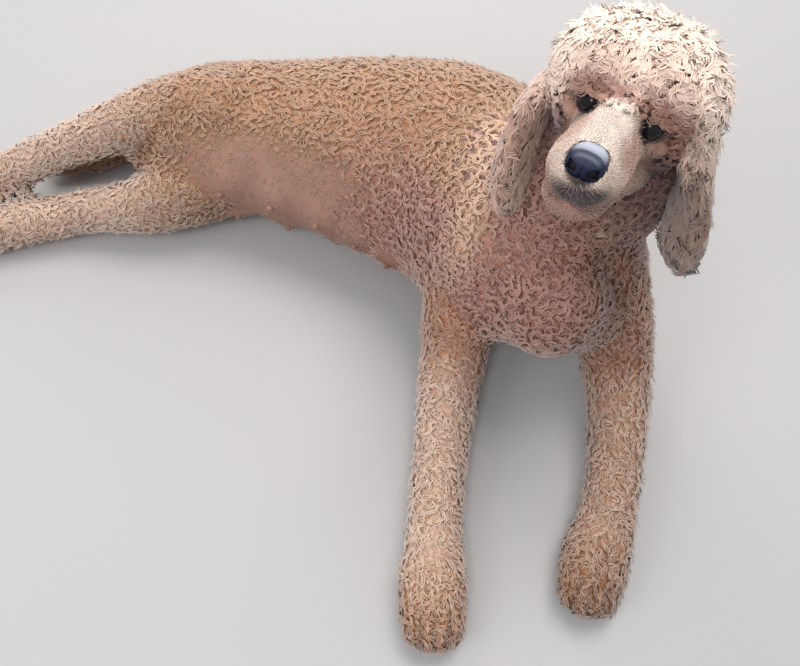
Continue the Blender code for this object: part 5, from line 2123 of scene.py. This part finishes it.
@dataclass(frozen=True)
class SkinFinish:
    """Skin with short combed fur on the face, bare on the belly, moist at the lids."""

    name: str = "skin"
    roughness: float = 0.72
    patches: tuple = (0.45, 0.30, 0.24)
    # painted shade: how much the low parts of the skin's curl bump are darkened
    painted_trough_shade: tuple = (0.86, 0.79, 0.74)

    def make(self, grain: NodeTree) -> Material:
        """Makes the material."""
        material, nodes = new_material(self.name)
        marks = nodes.attribute("markings", "Color")
        fur, wet, wool = (nodes.attribute(name) for name in ("fur", "wet", "wool"))
        group = nodes.streaks(grain)
        level = nodes.math("MULTIPLY_ADD", group.outputs["Streak"], 0.5, 0.75)
        colour = nodes.mix(fur, marks, nodes.mix(1.0, marks, nodes.grey(level), "MULTIPLY"))
        shade = nodes.math("MULTIPLY", group.outputs["Patch"], 0.18)
        colour = nodes.mix(shade, colour, self.patches, "MULTIPLY")
        curls = nodes.texture("Noise", {"Scale": 150, "Detail": 2, "Distortion": 1.6})
        ridge = nodes.math("PINGPONG", nodes.math("MULTIPLY", curls.outputs["Fac"], 6.0), 1.0)
        ridge = nodes.ramp(ridge, 0.0, 1.0)
        # painted shade: the low parts of the curl bump under the coat are darkened
        dark = nodes.mix(1.0, colour, self.painted_trough_shade, "MULTIPLY")
        colour = nodes.mix(nodes.math("MULTIPLY", wool, nodes.math("SUBTRACT", 1.0, ridge)), colour, dark)
        nodes.finish({"Base Color": colour, "Roughness": nodes.math("MULTIPLY_ADD", wet, -0.45, self.roughness)})
        height = nodes.math("MULTIPLY", group.outputs["Streak"], nodes.math("MAXIMUM", fur, 0.25))
        curled = nodes.math("MULTIPLY", nodes.math("MULTIPLY", wool, ridge), 3.0)
        nodes.bump(nodes.math("ADD", height, curled), 0.6, 0.0008)
        return material


@dataclass(frozen=True)
class LeatherFinish:
    """Pebbled, moist nose leather, with a painted highlight along its top."""

    name: str = "nose_leather_blue_black"
    shade: str = "#0e1630"
    # a lighter tone mottled into the leather; the same name also marks where the painted highlight goes
    mottle_and_highlight: str = "#202a48"
    # painted highlight: the pale blue grey that the top of the nose is mixed towards
    painted_highlight: tuple = (0.42, 0.44, 0.51)
    nostril: tuple = (0.006, 0.006, 0.008)
    roughness: float = 0.44

    def make(self) -> Material:
        """Makes the material."""
        material, nodes = new_material(self.name)
        pebble = nodes.texture("Voronoi", {"Scale": 900}, feature="DISTANCE_TO_EDGE")
        height = nodes.ramp(pebble.outputs["Distance"], 0.0, 0.22)
        cloud = nodes.texture("Noise", {"Scale": 160}).outputs["Fac"]
        colour = nodes.mix(cloud, linear(self.shade), linear(self.mottle_and_highlight))
        colour = nodes.mix(nodes.ramp(height, -0.6, 1.0), linear(self.shade) * 0.35, colour)
        # painted highlight: the top of the nose is mixed towards a pale blue grey
        colour = nodes.mix(nodes.math("MULTIPLY", nodes.attribute("mottle_and_highlight"), 0.95), colour, self.painted_highlight)
        colour = nodes.mix(nodes.attribute("hollow"), colour, self.nostril)
        rough = nodes.math("MULTIPLY_ADD", cloud, 0.2, self.roughness - 0.08)
        nodes.finish({"Base Color": colour, "Roughness": rough, "Specular IOR Level": 0.28})
        nodes.bump(height, 0.5, 0.0004)
        return material


@dataclass(frozen=True)
class EyeFinish:
    """A dark brown iris round a black pupil, under a wet cornea."""

    name: str = "eye_dark_brown"
    iris: str = "#140e12"
    white: str = "#1c1418"
    pupil_edge: tuple = (0.0040, 0.0046)
    iris_edge: tuple = (0.0080, 0.0090)

    def make(self) -> Material:
        """Makes the material."""
        material, nodes = new_material(self.name)
        off = nodes.attribute("off_axis")
        rays = nodes.texture("Noise", {"Scale": 700}).outputs["Fac"]
        iris = nodes.mix(rays, linear(self.iris) * 0.6, linear(self.iris) * 1.5)
        colour = nodes.mix(nodes.ramp(off, *self.pupil_edge), (0.002, 0.002, 0.002), iris)
        colour = nodes.mix(nodes.ramp(off, *self.iris_edge), colour, linear(self.white) * 0.6)
        nodes.finish({"Base Color": colour, "Roughness": 0.10, "Specular IOR Level": 0.25})
        nodes.finish({"Coat Weight": 0.12, "Coat Roughness": 0.03})
        return material


@dataclass(frozen=True)
class HornFinish:
    """Dark horn of the claws."""

    name: str = "claw_horn"
    shade: str = "#2a211f"

    def make(self) -> Material:
        """Makes the material."""
        material, nodes = new_material(self.name)
        grain = nodes.texture("Noise", {"Scale": 420}).outputs["Fac"]
        colour = nodes.mix(grain, linear(self.shade) * 0.6, linear(self.shade) * 1.7)
        nodes.finish({"Base Color": colour, "Roughness": 0.42})
        return material


@dataclass
class Studio:
    """The floor, the lights and the camera."""

    camera_height: float = 0.95
    camera_pitch: float = 66.0
    focal_pixels: float = 714.0
    image_width: float = 800.0
    sensor_width: float = 36.0

    def camera(self) -> None:
        """Makes the camera at the photograph's angle."""
        data = bpy.data.cameras.new("camera")
        data.sensor_width = self.sensor_width
        data.lens = self.focal_pixels / self.image_width * self.sensor_width
        made = placed("camera", data)
        made.location = Vector((0, 0, self.camera_height)) + SHIFT
        made.rotation_euler = (math.pi / 2 - math.radians(self.camera_pitch), 0, 0)
        bpy.context.scene.camera = made

    def floor(self) -> None:
        """Makes the plain pale floor."""
        made = add_mesh("floor", np.array([(-9, -9, 0), (9, -9, 0), (9, 9, 0), (-9, 9, 0)]), [(0, 1, 2, 3)])
        material, nodes = new_material("pale_floor")
        nodes.finish({"Base Color": (0.42, 0.41, 0.40), "Roughness": 0.85})
        made.data.materials.append(material)
        made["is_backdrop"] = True

    def light(self, name: str, at: tuple, size: float, power: float, shade: tuple, glossy: bool = True) -> None:
        """Makes one soft box that points at the dog; glossy is whether reflections show it."""
        data = bpy.data.lights.new(name, "AREA")
        data.shape = "DISK"
        data.size = size
        data.energy = power
        data.color = shade
        made = placed(name, data)
        made.location = Vector(at)
        aim = Vector((0, 0, 0.15)) - Vector(at)
        made.rotation_euler = aim.to_track_quat("-Z", "Y").to_euler()
        made.visible_glossy = glossy

    def build(self) -> None:
        """Sets the studio up."""
        self.camera()
        self.floor()
        self.light("key", (0.9, 1.0, 2.5), 1.6, 54, (1.0, 0.97, 0.95))
        self.light("fill", (-1.9, -1.2, 1.9), 1.8, 30, (0.96, 0.97, 1.0), False)
        self.light("front", (-0.3, -1.1, 2.4), 0.55, 12, (0.95, 0.97, 1.0))
        self.light("back", (-0.4, 2.2, 1.5), 1.2, 18, (1.0, 0.97, 0.94))
        world = bpy.data.worlds.new("studio")
        world.use_nodes = True
        nodes = Nodes(world.node_tree)
        nodes.feed(world.node_tree.nodes["Background"], {"Color": (0.92, 0.95, 1.0), "Strength": 0.72})
        bpy.context.scene.world = world
        bpy.context.scene.view_settings.view_transform = "Standard"


def main() -> None:
    """Builds the dog and its studio in order."""
    logging.basicConfig(level=logging.INFO, format="%(name)s: %(message)s")
    draw = np.random.default_rng(SEED)
    grain = hair_grain()
    finishes = {
        "wool": WoolFinish().make(grain),
        "chest": WoolFinish("chest_wool", (0.74, 0.62, 0.60), "#f2d2bb", 0.34).make(grain),
        "crown": WoolFinish("crown_wool", (1.0, 0.92, 0.86), "#fff3e8", 0.35).make(grain),
        "leg": WoolFinish("leg_wool", (0.90, 0.76, 0.66), "#fbe9dc", 0.42).make(grain),
        # the brow's wool: darker roots and fewer pale tips, as part of the painted shade under the crown
        "brow": WoolFinish("brow_wool", (0.82, 0.68, 0.64), "#e8c2ac", 0.20).make(grain),
        "short": WoolFinish("short_hair", (0.7, 0.55, 0.45), "#f3e4d0", 0.18).make(grain),
    }
    skin = Skin(DOG, HEAD_SIZES)
    hide = skin.build()
    skin_tree = tree_of(hide)
    bare = bpy.data.objects.new("bare_hide", hide.data.copy())
    skin.dress(hide, SkinFinish().make(grain))
    log.info("skin: %d triangles", triangles_of(hide))
    head_tree = HeadCoat(skin, skin_tree).build(draw, finishes)
    BodyCoat(skin, skin_tree, head_tree).build(bare, draw, finishes)
    drop(bare)
    NoseLeather().build(LeatherFinish().make())
    Eyes().build(EyeFinish().make())
    Claws().build(HornFinish().make())
    log.info("nose, eyes and claws are in place")
    Studio().build()
    total = sum(triangles_of(o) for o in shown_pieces() if o.type == "MESH")
    log.info("the whole model: %d triangles", total)


if __name__ == "__main__":
    main()
